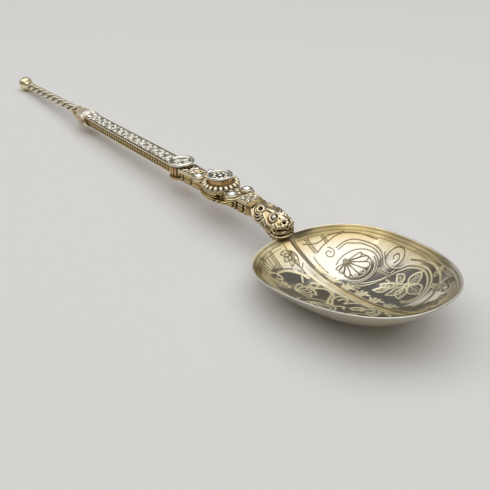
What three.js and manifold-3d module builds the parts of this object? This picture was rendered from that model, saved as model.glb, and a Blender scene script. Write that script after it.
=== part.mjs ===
import * as THREE from 'three';
import { ParametricGeometry } from 'three/addons/geometries/ParametricGeometry.js';
import { mergeVertices } from 'three/addons/utils/BufferGeometryUtils.js';
import Module from 'manifold-3d';

const wasm = await Module();
wasm.setup();

// An anointing spoon of gilt silver, in millimetres.
// +X runs from the knop to the tip of the bowl, +Z is up, and the spoon lies on its bowl and its knop.
// The handle is a chain of three straight runs: stem, shaft and rod, each with its own slope.

// Fits
const seatGap = 0.25; // solder gap between two pieces that are set against each other
const tenonGap = 0.25; // play of a tenon or spigot in its socket, on each side

// Bowl: an egg-shaped dish of two lobes, parted by a ridge from the heel to the tip
const bowlLength = 64.1;
const bowlWidth = 50.2;
const bowlDepth = 11.75; // rim to underside
const bowlWall = 1.0;
const heelToWidest = 25;
const heelToDeepest = 30;
const bowlTilt = THREE.MathUtils.degToRad(8.4); // tip raised over the heel
const outlinePower = 2.25; // 2 is an ellipse, more is squarer
const dishPower = 2.8; // 2 is a parabola, more has a flatter floor
const ridgeHeight = 1.9;
const ridgeHalfWidth = 3.6;
const ridgeSolid = 0.6; // metal that the ridge has over the wall
const ridgeFadePower = 6; // how late the ridge dies away towards heel and tip
const lobeFlatDepth = 0.15; // worn flat under each lobe, on which the bowl rests
const tongueLength = 4; // tongue at the heel, held in the beast's throat
const tongueWidth = 3.2;
const tongueThickness = 1.0;
const tongueDrop = 0.2; // rim to the top of the tongue
const tongueRoot = 1.2; // how far the tongue reaches into the wall
const tongueSlope = THREE.MathUtils.degToRad(18); // the tongue rises away from the bowl

// Beast head, which bites the heel of the bowl
const headLength = 12.5; // heel of the bowl to the back of the head
const snoutReach = 2.6; // how far the snout stands out over the bowl
const headWidth = 9;
const headHeight = 9.8; // crown to throat
const crownRise = 7.1; // crown of the head over the heel's rim
const backWidth = 7; // back of the head, where the neck collar sits
const backHeight = 4.6;
const earRadius = 1.5;
const earSpread = 4.6; // between the two ear curls
const earBack = 9.2; // heel of the bowl to the ear curls
const earDrop = 1.1; // crown to the middle of an ear curl
const eyeRadius = 0.8;
const eyeSpread = 3.6;
const eyeBack = 2.9;
const eyeDrop = 0.5; // crown to the middle of an eye
const mouthRise = 1.35; // heel's rim to the middle of the mouth
const mouthHeight = 0.7;
const mouthDepth = 3.2;
const nostrilRadius = 0.45;
const nostrilSpread = 2.2;
const nostrilReach = 1.2; // heel of the bowl to the nostrils, towards the tip
const nostrilDrop = 0.9; // crown to the nostrils

// Stem: a base, a ribbed core and top plates
const stemSlope = THREE.MathUtils.degToRad(3.8);
const neckRise = 6.64; // top of the stem at the head over the heel's rim
const neckToBoss = 21.2;
const neckToUpperDrum = 45.8;
const baseThickness = 1.1;
const baseWidth = 7.2;
const baseBossRadius = 5.5; // half of the base's width at the boss
const baseBossReach = 10.2; // half of the length over which the base swells
const coreHeight = 1.75;
const coreWidth = 6.4;
const coreBossRadius = 5.0;
const slotWidth = 0.75;
const slotPitch = 1.9;
const slotDepth = 0.9;
const plateThickness = 1.0;
const panelWidth = 6.8;
const shoulderFlare = 1.4; // how much wider the shoulder panel is at the upper drum
const tenonWidth = 3.0;
const tenonHeight = 1.2;
const tenonLength = 2.6;

// Neck collar: three bands between the stem and the head
const collarLength = 1.9;
const collarWidth = 7.8;
const collarHeight = 5.0;
const collarBands = 3;
const bandRelief = 0.35;
const collarRoundness = 3; // 2 is an ellipse, more is squarer

// Boss: a drum with a medallion, in a ring of petals, on a plate that also carries four pearls
const bossPlateRadius = 6.7;
const bossRadius = 4.2;
const bossHeight = 3.6; // over the plate
const bezelWall = 0.65;
const bezelDepth = 0.95;
const medallionThickness = 0.4;
const rosetteDotRadius = 0.5;
const rosetteDotRise = 0.35; // dots over the disc
const rosetteDots = 6;
const bossSpigotRadius = 1.6;
const bossSpigotLength = 2.2;
const petalRingRadius = 6.4;
const petalRingHeight = 1.3;
const petalCount = 18;
const petalNotch = 0.45;
const pearlRadius = 1.45;
const pearlHeight = 1.0; // half pearls, flat below
const colletRadius = 2.2;
const colletHeight = 0.75;
const colletFloor = 0.2;
const colletSpigotRadius = 0.8;
const pearlLobeMargin = 0.35; // plate round a collet
const lowerPearlReach = 10.7; // boss to the pearls by the head
const lowerPearlSpread = 6.4;
const upperPearlReach = 9.8; // boss to the pearls by the shaft
const upperPearlSpread = 5.3;

// Upper drum: a fluted drum with a medallion, between stem and shaft
const upperDrumRadius = 4.4;
const upperDrumRise = 1.8; // drum over the stem's plates
const upperRimRadius = 4.85;
const upperRimHeight = 0.9;
const fluteCount = 16;
const fluteDepth = 0.3;

// Shaft: a hollow-sided bar with a relief panel on top and a band in each side
const shaftSlope = THREE.MathUtils.degToRad(2.5);
const shaftLength = 67.7;
const shaftWidth = 7.0; // at the drum
const shaftEndWidth = 6.3; // at the cap
const shaftHeight = 3.6;
const sideHollow = 0.8;
const sideFillet = 0.8; // plain fillet over and under the hollow
const panelBorder = 0.7;
const panelRecess = 0.6;
const shaftPanelThickness = 0.55;
const bandThickness = 0.5;

// Mask cap, from whose mouth the rod comes out, with two eye domes on the end of the shaft
const capLength = 14.2;
const capWidth = 8.4;
const capHeight = 5.4;
const capMouthRadius = 2.1;
const capMouthRise = 0.4; // middle of the mouth over the middle of the cap's shoulder
const maskEyeRadius = 1.1;
const maskEyeHeight = 1.3;
const maskEyeSpread = 2.5;
const maskEyeMargin = 0.2; // end of the shaft to an eye

// Twisted rod and knop
const rodLength = 53.75;
const rodRadius = 1.75; // at the cap
const rodEndRadius = 1.4; // at the knop
const rodStrands = 3;
const rodTurns = 4;
const strandGroove = 0.42;
const rodSpigotRadius = 0.75;
const rodSpigotLength = 3;
const knopRadius = 3.2;

// Facets
const roundSides = 24;
const smallSides = 12;
const dotSides = 6;
const bowlRings = 26;
const bowlColumns = 18;
const headSides = 22;
const pointsPerStrand = 4;
const pointsPerPetal = 3;
const pointsPerFlute = 3;
const beadRingShare = 0.6; // rings of a bead, for each of its sides
const domeRings = 5;
const stepsPerTurn = 14;
const columnCrowding = 1.5; // more brings the bowl's columns closer to the ridge
const weldDistance = 1e-4;

const giltBright = new THREE.MeshStandardMaterial({ color: 0xd8c48a, roughness: 0.16, metalness: 1 });
const giltRelief = new THREE.MeshStandardMaterial({ color: 0xb9a873, roughness: 0.34, metalness: 1 });
const giltDeep = new THREE.MeshStandardMaterial({ color: 0xa8873f, roughness: 0.36, metalness: 1 });
const silverBead = new THREE.MeshStandardMaterial({ color: 0xe9e5d6, roughness: 0.12, metalness: 1 });

// A closed geometry as a solid that can be joined and cut
function solid(geometry) {
  const bare = geometry.clone();
  bare.deleteAttribute('normal');
  bare.deleteAttribute('uv');
  const welded = mergeVertices(bare, weldDistance);
  const corners = welded.index.array;
  const kept = [];
  const flipped = [];
  for (let c = 0; c < corners.length; c += 3) {
    const [p, q, r] = corners.subarray(c, c + 3);
    if (p !== q && q !== r && r !== p) {
      kept.push(p, q, r);
      flipped.push(p, r, q);
    }
  }
  const vertProperties = Float32Array.from(welded.attributes.position.array);
  const fromCorners = (list) => new wasm.Manifold(
    new wasm.Mesh({ numProp: 3, vertProperties, triVerts: Uint32Array.from(list) })
  );
  const made = fromCorners(kept);
  return made.volume() > 0 ? made : fromCorners(flipped);
}

function geometryOf(made) {
  const mesh = made.getMesh();
  const geometry = new THREE.BufferGeometry();
  geometry.setAttribute('position', new THREE.BufferAttribute(Float32Array.from(mesh.vertProperties), 3));
  geometry.setIndex(new THREE.BufferAttribute(Uint32Array.from(mesh.triVerts), 1));
  geometry.computeVertexNormals();
  return geometry;
}

function piece(parent, name, material, made) {
  const mesh = new THREE.Mesh(geometryOf(made), material);
  mesh.name = name;
  parent.add(mesh);
  return mesh;
}

// A closed skin from a point for each column round it and each ring along it
function skin(columns, rings, pointAt) {
  const atPoint = (u, v, target) => {
    pointAt(Math.round(u * columns) % columns, Math.round(v * rings), target);
  };
  return new ParametricGeometry(atPoint, columns, rings);
}

// A bar of rounded sections along X: each station has x, z, halfWidth, halfHeight; power 2 is an ellipse
function loft(stations, sides, power) {
  const last = stations.length + 1;
  const round = (value) => Math.sign(value) * Math.abs(value) ** (2 / power);
  return skin(sides, last, (column, ring, target) => {
    const at = stations[THREE.MathUtils.clamp(ring - 1, 0, stations.length - 1)];
    const turn = (column / sides) * 2 * Math.PI;
    const open = ring === 0 || ring === last ? 0 : 1;
    target.set(
      at.x,
      at.halfWidth * round(Math.cos(turn)) * open,
      at.z + at.halfHeight * round(Math.sin(turn)) * open
    );
  });
}

function block(backX, frontX, width, lowZ, highZ) {
  const box = new THREE.BoxGeometry(frontX - backX, width, highZ - lowZ);
  return box.translate((backX + frontX) / 2, 0, (lowZ + highZ) / 2);
}

function pillar(radius, lowZ, highZ, x, y, sides) {
  const round = new THREE.CylinderGeometry(radius, radius, highZ - lowZ, sides);
  return round.rotateX(Math.PI / 2).translate(x, y, (lowZ + highZ) / 2);
}

function spigot(radius, backX, frontX) {
  const round = new THREE.CylinderGeometry(radius, radius, frontX - backX, smallSides);
  return round.rotateZ(Math.PI / 2).translate((backX + frontX) / 2, 0, 0);
}

// A profile of radius and height, turned about Z
function turned(profile, sides) {
  const points = profile.map(([radius, height]) => new THREE.Vector2(radius, height));
  return new THREE.LatheGeometry(points, sides).rotateX(Math.PI / 2);
}

function bead(radius, sides) {
  return new THREE.SphereGeometry(radius, sides, Math.round(sides * beadRingShare)).rotateX(Math.PI / 2);
}

// Half of a flattened ball, standing on Z = 0
function dome(radius, height, sides) {
  const profile = [[0, 0]];
  for (let step = 0; step <= domeRings; step += 1) {
    const turn = (step / domeRings) * (Math.PI / 2);
    profile.push([step === domeRings ? 0 : radius * Math.cos(turn), height * Math.sin(turn)]);
  }
  return turned(profile, sides);
}

// A shape drawn across the bar (Y, Z), drawn out along X from backX to frontX
function drawn(shape, backX, frontX) {
  const bar = new THREE.ExtrudeGeometry(shape, { depth: frontX - backX, bevelEnabled: false });
  const across = new THREE.Vector3(0, 1, 0);
  const up = new THREE.Vector3(0, 0, 1);
  const along = new THREE.Vector3(1, 0, 0);
  bar.applyMatrix4(new THREE.Matrix4().makeBasis(across, up, along));
  return bar.translate(backX, 0, 0);
}

function rectangle(leftY, lowZ, rightY, highZ) {
  const corners = [[leftY, lowZ], [rightY, lowZ], [rightY, highZ], [leftY, highZ]];
  return new THREE.Shape(corners.map(([y, z]) => new THREE.Vector2(y, z)));
}

const bothSides = [['left', 1], ['right', -1]];

// Bowl

// Half of the outline's width at a distance from the heel, for the rim drawn in by inset
function rimHalfWidth(fromHeel, inset) {
  const behind = fromHeel < heelToWidest;
  const reach = (behind ? heelToWidest : bowlLength - heelToWidest) - inset;
  const share = Math.min(Math.abs(fromHeel - heelToWidest) / reach, 1);
  return (bowlWidth / 2 - inset) * (1 - share ** outlinePower) ** (1 / outlinePower);
}

// Height under the rim of a sheet of the bowl, with its share of the ridge
function sheetHeight(fromHeel, y, inset, depth, ridge) {
  const behind = fromHeel < heelToDeepest;
  const reach = (behind ? heelToDeepest : bowlLength - heelToDeepest) - inset;
  const along = Math.min(Math.abs(fromHeel - heelToDeepest) / reach, 1);
  const half = rimHalfWidth(fromHeel, inset);
  const across = half > 0 ? Math.min(Math.abs(y) / half, 1) : 1;
  const floor = -depth * (1 - along ** dishPower) * (1 - across ** dishPower);
  const slope = Math.max(1 - Math.abs(y) / ridgeHalfWidth, 0);
  return floor + ridge * slope ** 2 * (1 - along ** ridgeFadePower) * (1 - across ** dishPower);
}

function bowlShell() {
  const perSheet = bowlColumns + 1;
  const sheets = [
    { inset: bowlWall, depth: bowlDepth - bowlWall, ridge: ridgeHeight },
    { inset: 0, depth: bowlDepth, ridge: ridgeHeight - ridgeSolid },
  ];
  return skin(2 * perSheet, bowlRings, (column, ring, target) => {
    const inner = column < perSheet;
    const { inset, depth, ridge } = sheets[inner ? 0 : 1];
    const step = inner ? column : 2 * perSheet - 1 - column;
    const across = (2 * step) / bowlColumns - 1;
    const along = (1 - Math.cos((Math.PI * ring) / bowlRings)) / 2;
    const fromHeel = inset + (bowlLength - 2 * inset) * along;
    // columns crowd together over the ridge
    const y = rimHalfWidth(fromHeel, inset) * Math.sign(across) * Math.abs(across) ** columnCrowding;
    target.set(fromHeel, y, sheetHeight(fromHeel, y, inset, depth, ridge));
  });
}

// the tongue at the heel's rim, grown by the play that its slot leaves it
function tongue(play) {
  const bar = block(
    -tongueLength - play,
    tongueRoot,
    tongueWidth + 2 * play,
    -tongueThickness - play,
    play
  );
  return bar.rotateY(tongueSlope).translate(0, 0, -tongueDrop);
}

const tiltedShell = bowlShell().rotateY(-bowlTilt);
tiltedShell.computeBoundingBox();
const shellLow = tiltedShell.boundingBox.min;
const shellHigh = tiltedShell.boundingBox.max;
const flatLevel = shellLow.z + lobeFlatDepth;
const underFlats = block(shellLow.x, shellHigh.x, 2 * bowlWidth, shellLow.z - bowlWall, flatLevel);
const heelZ = -flatLevel; // the rim at the heel over the table

const spoon = new THREE.Group();
const dish = solid(tiltedShell).subtract(solid(underFlats)).add(solid(tongue(0)));
const bowl = piece(spoon, 'bowl', giltBright, dish);
bowl.position.z = heelZ;

// Beast head

// Outline of the head from its back to the snout: shares of its length and width,
// and how far top and underside lie under the crown, as shares of its height
const headOutline = [
  [0.13, 0.93, 0.03, 0.56],
  [0.33, 1.0, 0.0, 0.62],
  [0.53, 0.95, 0.0, 0.77],
  [0.68, 0.88, 0.02, 0.94],
  [0.8, 0.82, 0.04, 1.0],
  [0.89, 0.72, 0.08, 0.91],
  [0.96, 0.55, 0.15, 0.75],
  [1.0, 0.34, 0.26, 0.58],
];
const headRoundness = 2.4; // 2 is an ellipse, more is squarer
const stemHeight = baseThickness + coreHeight + plateThickness + 2 * seatGap;
const crownZ = heelZ + crownRise;
const backZ = heelZ + neckRise - stemHeight / 2;

function headBody() {
  const length = headLength + snoutReach;
  const stations = headOutline.map(([along, wide, top, under]) => ({
    x: length * along - headLength,
    z: crownZ - (headHeight * (top + under)) / 2,
    halfWidth: (headWidth * wide) / 2,
    halfHeight: (headHeight * (under - top)) / 2,
  }));
  stations.unshift({ x: -headLength, z: backZ, halfWidth: backWidth / 2, halfHeight: backHeight / 2 });
  return solid(loft(stations, headSides, headRoundness));
}

function eyePlace(side) {
  return new THREE.Vector3(-eyeBack, (side * eyeSpread) / 2, crownZ - eyeDrop);
}

function beastHead() {
  let head = headBody();
  for (const [, side] of bothSides) {
    const ear = bead(earRadius, smallSides).translate(-earBack, (side * earSpread) / 2, crownZ - earDrop);
    head = head.add(solid(ear));
    const place = eyePlace(side);
    head = head.subtract(solid(bead(eyeRadius + seatGap, smallSides).translate(place.x, place.y, place.z)));
    const nostril = bead(nostrilRadius, dotSides);
    const nose = [nostrilReach, (side * nostrilSpread) / 2, crownZ - nostrilDrop];
    head = head.subtract(solid(nostril.translate(...nose)));
  }
  const front = snoutReach + seatGap;
  const lipZ = heelZ + mouthRise - mouthHeight / 2;
  const mouth = block(front - mouthDepth, front, headWidth, lipZ, lipZ + mouthHeight);
  const bowlSeat = block(-seatGap, snoutReach + headLength, 2 * headWidth, -headHeight, seatGap);
  const cuts = [
    solid(mouth),
    solid(bowlSeat.rotateY(-bowlTilt).translate(0, 0, heelZ)),
    solid(tongue(tenonGap).translate(0, 0, heelZ)),
  ];
  return cuts.reduce((body, cut) => body.subtract(cut), head);
}

// Stem, in a frame at the back of the head: X towards the bowl, Z = 0 under the base
const stem = new THREE.Group();
stem.position.set(-headLength, 0, heelZ + neckRise - stemHeight);
stem.rotation.y = -stemSlope;
spoon.add(stem);

const coreLow = baseThickness + seatGap;
const coreTop = coreLow + coreHeight;
const plateLow = coreTop + seatGap;
const tenonMiddle = coreLow + coreHeight / 2;
const neckGap = seatGap + (stemHeight / 2) * Math.tan(stemSlope);
const collarBack = -neckGap - collarLength;
const stemFront = collarBack - seatGap;
const bossX = -neckToBoss;
const drumX = -neckToUpperDrum;

function tenon(backX, frontX, play) {
  return block(backX, frontX, tenonWidth + 2 * play, tenonMiddle - tenonHeight / 2 - play,
    tenonMiddle + tenonHeight / 2 + play);
}

// the drum's place, grown by the gap that its neighbours keep to it
const drumReach = upperDrumRadius + seatGap;
const drumRoom = solid(pillar(drumReach, -stemHeight, 2 * stemHeight, drumX, 0, roundSides));
const neckSocket = tenon(-neckGap, tenonLength + tenonGap, tenonGap);
neckSocket.rotateY(-stemSlope).translate(-headLength, 0, stem.position.z);
piece(spoon, 'beast_head', giltBright, beastHead().subtract(solid(neckSocket)));
for (const [hand, side] of bothSides) {
  const eye = piece(spoon, `eye_${hand}`, silverBead, solid(bead(eyeRadius, smallSides)));
  eye.position.copy(eyePlace(side));
}

function neckCollar() {
  const rings = 2 * collarBands;
  const stations = [];
  for (let r = 0; r <= rings; r += 1) {
    const relief = r % 2 === 0 ? bandRelief : 0;
    stations.push({
      x: collarBack + (collarLength * r) / rings,
      z: stemHeight / 2,
      halfWidth: collarWidth / 2 - relief,
      halfHeight: collarHeight / 2 - relief,
    });
  }
  const hole = tenon(collarBack - seatGap, 0, tenonGap);
  return solid(loft(stations, headSides, collarRoundness)).subtract(solid(hole));
}
piece(stem, 'neck_collar', giltRelief, neckCollar());

// A bar from the collar to the upper drum, with a round stretch about the boss
function bossedBar(width, swellReach, swellHalfWidth, lowZ, highZ) {
  const bar = solid(block(drumX, stemFront, width, lowZ, highZ));
  const swell = pillar(1, lowZ, highZ, 0, 0, roundSides).scale(swellReach, swellHalfWidth, 1);
  return bar.add(solid(swell.translate(bossX, 0, 0))).subtract(drumRoom);
}

function stemCore() {
  let core = bossedBar(coreWidth, coreBossRadius, coreBossRadius, coreLow, coreTop);
  const clearOfBoss = coreBossRadius + slotWidth;
  const slotX = [];
  for (let x = stemFront - slotPitch; x > drumX + upperDrumRadius + slotPitch; x -= slotPitch) {
    if (Math.abs(x - bossX) > clearOfBoss) slotX.push(x);
  }
  for (const x of slotX) {
    for (const [, side] of bothSides) {
      const slot = block(x - slotWidth / 2, x + slotWidth / 2, 2 * slotDepth, 0, plateLow);
      core = core.subtract(solid(slot.translate(0, (side * coreWidth) / 2, 0)));
    }
  }
  const ends = [
    tenon(stemFront - tenonLength, tenonLength, 0),
    tenon(drumX + upperDrumRadius - tenonLength, drumX + upperDrumRadius + tenonLength, 0),
  ];
  core = ends.reduce((body, end) => body.add(solid(end)), core);
  const socket = pillar(bossSpigotRadius + tenonGap, coreLow, plateLow, bossX, 0, roundSides);
  return core.subtract(solid(socket));
}
piece(stem, 'stem_base', giltRelief, bossedBar(baseWidth, baseBossReach, baseBossRadius, 0, baseThickness));
piece(stem, 'stem_core', giltDeep, stemCore());

// Pearls, numbered from the head to the shaft
const pearls = [];
for (const [reach, spread] of [[lowerPearlReach, lowerPearlSpread], [-upperPearlReach, upperPearlSpread]]) {
  for (const [, side] of bothSides) {
    pearls.push({ x: bossX + reach, y: (side * spread) / 2 });
  }
}
const lobeRadius = colletRadius + pearlLobeMargin;

function bossPlate() {
  const backX = bossX - upperPearlReach;
  const frontX = bossX + lowerPearlReach;
  let plate = solid(block(backX, frontX, panelWidth, plateLow, stemHeight));
  plate = plate.add(solid(pillar(bossPlateRadius, plateLow, stemHeight, bossX, 0, roundSides)));
  for (const { x, y } of pearls) {
    plate = plate.add(solid(pillar(lobeRadius, plateLow, stemHeight, x, y, smallSides)));
  }
  for (const { x, y } of pearls) {
    const hole = pillar(colletSpigotRadius + tenonGap, coreTop, stemHeight + seatGap, x, y, smallSides);
    plate = plate.subtract(solid(hole));
  }
  const socketRadius = bossSpigotRadius + tenonGap;
  const socket = pillar(socketRadius, coreTop, stemHeight + seatGap, bossX, 0, roundSides);
  return plate.subtract(solid(socket));
}
piece(stem, 'boss_plate', giltRelief, bossPlate());

const lowerPanelBack = bossX + lowerPearlReach + lobeRadius + seatGap;
const lowerPanel = block(lowerPanelBack, stemFront, panelWidth, plateLow, stemHeight);
piece(stem, 'lower_panel', giltRelief, solid(lowerPanel));

function shoulderPanel() {
  const frontX = bossX - upperPearlReach - lobeRadius - seatGap;
  const near = panelWidth / 2;
  const far = (panelWidth + shoulderFlare) / 2;
  const corners = [[frontX, -near], [frontX, near], [drumX, far], [drumX, -far]];
  const outline = new THREE.Shape(corners.map(([x, y]) => new THREE.Vector2(x, y)));
  const plate = new THREE.ExtrudeGeometry(outline, { depth: plateThickness, bevelEnabled: false });
  return solid(plate.translate(0, 0, plateLow)).subtract(drumRoom);
}
piece(stem, 'shoulder_panel', giltRelief, shoulderPanel());

const colletCup = pearlRadius + seatGap;
const colletProfile = [
  [0, -plateThickness],
  [colletSpigotRadius, -plateThickness],
  [colletSpigotRadius, 0],
  [colletRadius, 0],
  [colletRadius, colletHeight / 2],
  [(colletRadius + colletCup) / 2, colletHeight],
  [colletCup, colletHeight],
  [colletCup, colletFloor],
  [0, colletFloor],
];
pearls.forEach(({ x, y }, index) => {
  const cup = solid(turned(colletProfile, smallSides));
  const collet = piece(stem, `pearl_collet_${index + 1}`, giltRelief, cup);
  collet.position.set(x, y, stemHeight + seatGap);
  const half = solid(dome(pearlRadius, pearlHeight, smallSides));
  const pearl = piece(stem, `pearl_${index + 1}`, silverBead, half);
  pearl.position.set(x, y, collet.position.z + colletFloor + seatGap);
});

// Boss

// Section of the ring of petals: shares of its breadth outwards and of its height
const petalSection = [
  [0, 0],
  [0, 1],
  [0.35, 1],
  [0.8, 0.7],
  [1, 0.3],
  [1, 0],
];

function petalRing() {
  const columns = petalCount * pointsPerPetal;
  const innerRadius = bossRadius + seatGap;
  return skin(petalSection.length, columns, (corner, column, target) => {
    const turn = ((column % columns) / columns) * 2 * Math.PI;
    const notch = column % pointsPerPetal === 0 ? petalNotch : 0;
    const [out, up] = petalSection[corner];
    const radius = innerRadius + (petalRingRadius - notch - innerRadius) * out;
    const height = (petalRingHeight - notch * out) * up;
    target.set(radius * Math.cos(turn), radius * Math.sin(turn), height);
  });
}
const ring = piece(stem, 'petal_ring', giltRelief, solid(petalRing()));
ring.position.set(bossX, 0, stemHeight + seatGap);

// A medallion of a bezel's inner radius: a disc with a rosette of dots
function medallion(bezelRadius) {
  const discRadius = bezelRadius - seatGap;
  let disc = solid(pillar(discRadius, 0, medallionThickness, 0, 0, roundSides));
  const dotCircle = discRadius - 2 * rosetteDotRadius;
  for (let dot = 0; dot <= rosetteDots; dot += 1) {
    const turn = (dot / rosetteDots) * 2 * Math.PI;
    const reach = dot === rosetteDots ? 0 : dotCircle;
    const dotShape = dome(rosetteDotRadius, medallionThickness + rosetteDotRise, dotSides);
    disc = disc.add(solid(dotShape.translate(reach * Math.cos(turn), reach * Math.sin(turn), 0)));
  }
  return disc;
}

const bossDrum = turned([
  [0, -bossSpigotLength],
  [bossSpigotRadius, -bossSpigotLength],
  [bossSpigotRadius, 0],
  [bossRadius, 0],
  [bossRadius, bossHeight],
  [bossRadius - bezelWall, bossHeight],
  [bossRadius - bezelWall, bossHeight - bezelDepth],
  [0, bossHeight - bezelDepth],
], roundSides);
const drum = piece(stem, 'boss_drum', giltBright, solid(bossDrum));
drum.position.set(bossX, 0, stemHeight + seatGap);
const bossMedallion = piece(stem, 'boss_medallion', giltRelief, medallion(bossRadius - bezelWall));
bossMedallion.position.set(bossX, 0, drum.position.z + bossHeight - bezelDepth + seatGap);

// Upper drum
const upperTop = stemHeight + upperDrumRise;

function flutedDrum() {
  const count = fluteCount * pointsPerFlute;
  const points = [];
  for (let p = 0; p < count; p += 1) {
    const turn = (p / count) * 2 * Math.PI;
    const radius = upperDrumRadius - (p % pointsPerFlute === 0 ? fluteDepth : 0);
    points.push(new THREE.Vector2(radius * Math.cos(turn), radius * Math.sin(turn)));
  }
  const depth = upperTop - upperRimHeight / 2;
  return new THREE.ExtrudeGeometry(new THREE.Shape(points), { depth, bevelEnabled: false });
}

function upperDrum() {
  const rim = pillar(upperRimRadius, upperTop - upperRimHeight, upperTop, 0, 0, roundSides);
  const seatRadius = upperRimRadius - bezelWall;
  const seat = pillar(seatRadius, upperTop - bezelDepth, upperTop + seatGap, 0, 0, roundSides);
  const toStem = tenon(upperDrumRadius - tenonLength - tenonGap, upperRimRadius, tenonGap);
  const toShaft = tenon(-upperRimRadius, tenonLength + tenonGap - upperDrumRadius, tenonGap);
  const cuts = [seat, toStem, toShaft.rotateY(stemSlope - shaftSlope)];
  const body = solid(flutedDrum()).add(solid(rim));
  return cuts.reduce((made, cut) => made.subtract(solid(cut)), body);
}
piece(stem, 'upper_drum', giltBright, upperDrum()).position.x = drumX;
const upperMedallion = piece(stem, 'upper_medallion', giltRelief, medallion(upperRimRadius - bezelWall));
upperMedallion.position.set(drumX, 0, upperTop - bezelDepth + seatGap);

// Shaft, in a frame at the drum's axis: X towards the bowl, Z = 0 under the stem's base line
const shaft = new THREE.Group();
shaft.position.x = drumX;
shaft.rotation.y = stemSlope - shaftSlope;
stem.add(shaft);

const shaftLow = stemHeight - shaftHeight;
const shaftFront = -upperDrumRadius - seatGap;
const shaftBack = shaftFront - shaftLength;
const shaftDrumReach = upperDrumRadius + 2 * seatGap;
const shaftDrumRoom = solid(pillar(shaftDrumReach, -stemHeight, 2 * stemHeight, 0, 0, roundSides));

// Narrows a bar from shaftWidth at the drum to shaftEndWidth at the cap
function tapered(geometry) {
  const points = geometry.attributes.position;
  for (let p = 0; p < points.count; p += 1) {
    const along = THREE.MathUtils.clamp((shaftFront - points.getX(p)) / shaftLength, 0, 1);
    points.setY(p, points.getY(p) * THREE.MathUtils.lerp(1, shaftEndWidth / shaftWidth, along));
  }
  return geometry;
}

function shaftSection() {
  const half = shaftWidth / 2;
  const top = stemHeight;
  const rightHand = [
    [half, shaftLow],
    [half, shaftLow + sideFillet],
    [half - sideHollow, shaftLow + sideFillet],
    [half - sideHollow, top - sideFillet],
    [half, top - sideFillet],
    [half, top],
    [half - panelBorder, top],
    [half - panelBorder, top - panelRecess],
  ];
  const leftHand = rightHand.map(([y, z]) => [-y, z]).reverse();
  return new THREE.Shape([...rightHand, ...leftHand].map(([y, z]) => new THREE.Vector2(y, z)));
}

const barFront = -upperDrumRadius / 2; // trimmed back to the round of the drum
const shaftTenonReach = tenonLength - upperDrumRadius;
const shaftBar = solid(tapered(drawn(shaftSection(), shaftBack, barFront))).subtract(shaftDrumRoom)
  .add(solid(tenon(-upperDrumRadius - tenonLength, shaftTenonReach, 0)))
  .add(solid(tenon(shaftBack - tenonLength, shaftBack + tenonLength, 0)));
piece(shaft, 'shaft_bar', giltBright, shaftBar);

const panelHalf = shaftWidth / 2 - panelBorder - seatGap;
const panelLow = stemHeight - panelRecess + seatGap;
const maskEyeX = shaftBack + maskEyeMargin + maskEyeRadius;
const panelBack = maskEyeX + maskEyeRadius + seatGap;
const panelShape = rectangle(-panelHalf, panelLow, panelHalf, panelLow + shaftPanelThickness);
const shaftPanel = solid(tapered(drawn(panelShape, panelBack, barFront))).subtract(shaftDrumRoom);
piece(shaft, 'shaft_panel', giltRelief, shaftPanel);

const bandLow = shaftLow + sideFillet + seatGap;
const bandHigh = stemHeight - sideFillet - seatGap;
const bandInner = shaftWidth / 2 - sideHollow + seatGap;
for (const [hand, side] of bothSides) {
  const edges = [side * bandInner, side * (bandInner + bandThickness)].sort((a, b) => a - b);
  const strip = drawn(rectangle(edges[0], bandLow, edges[1], bandHigh), shaftBack, barFront);
  piece(shaft, `shaft_band_${hand}`, giltDeep, solid(tapered(strip)).subtract(shaftDrumRoom));
}

// Mask cap

// Outline of the cap from the shaft to its mouth: share of its length and of the way from body to mouth
const capOutline = [
  [0.0, 0.1],
  [0.12, 0.0],
  [0.4, 0.1],
  [0.65, 0.45],
  [0.85, 0.8],
  [1.0, 1.0],
];
const capRoundness = 2.4; // 2 is an ellipse, more is squarer
const capFront = shaftBack - seatGap;
const capBack = capFront - capLength;
const capMiddle = shaftLow + shaftHeight / 2;

// The rod runs from the middle of the cap's mouth down to the knop on the table
shaft.updateWorldMatrix(true, false);
const mouthZ = capMiddle + capMouthRise;
const mouthPlace = shaft.localToWorld(new THREE.Vector3(capBack, 0, mouthZ));
const boreRadius = rodSpigotRadius + tenonGap;
const knopSeat = Math.sqrt(knopRadius ** 2 - boreRadius ** 2) + seatGap; // knop's middle to the rod's end
const rodSlope = Math.asin((mouthPlace.z - knopRadius) / (seatGap + rodLength + knopSeat));

function maskCap() {
  const stations = capOutline.map(([along, towards]) => ({
    x: capFront - capLength * along,
    z: capMiddle + capMouthRise * along,
    halfWidth: THREE.MathUtils.lerp(capWidth / 2, capMouthRadius, towards),
    halfHeight: THREE.MathUtils.lerp(capHeight / 2, capMouthRadius, towards),
  }));
  const bore = spigot(boreRadius, -seatGap, rodSpigotLength + 2 * tenonGap);
  bore.rotateY(shaftSlope - rodSlope).translate(capBack, 0, mouthZ);
  const cuts = [bore, tenon(shaftBack - tenonLength - tenonGap, capFront + seatGap, tenonGap)];
  const body = solid(loft(stations, headSides, capRoundness));
  return cuts.reduce((made, cut) => made.subtract(solid(cut)), body);
}
piece(shaft, 'mask_cap', giltRelief, maskCap());
for (const [hand, side] of bothSides) {
  const eyeDome = solid(dome(maskEyeRadius, maskEyeHeight, smallSides));
  const eye = piece(shaft, `mask_eye_${hand}`, silverBead, eyeDome);
  eye.position.set(maskEyeX, (side * maskEyeSpread) / 2, panelLow);
}

// Rod and knop, in a frame at the cap's mouth
const rod = new THREE.Group();
rod.position.copy(mouthPlace);
rod.rotation.y = -rodSlope;
spoon.add(rod);

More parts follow.
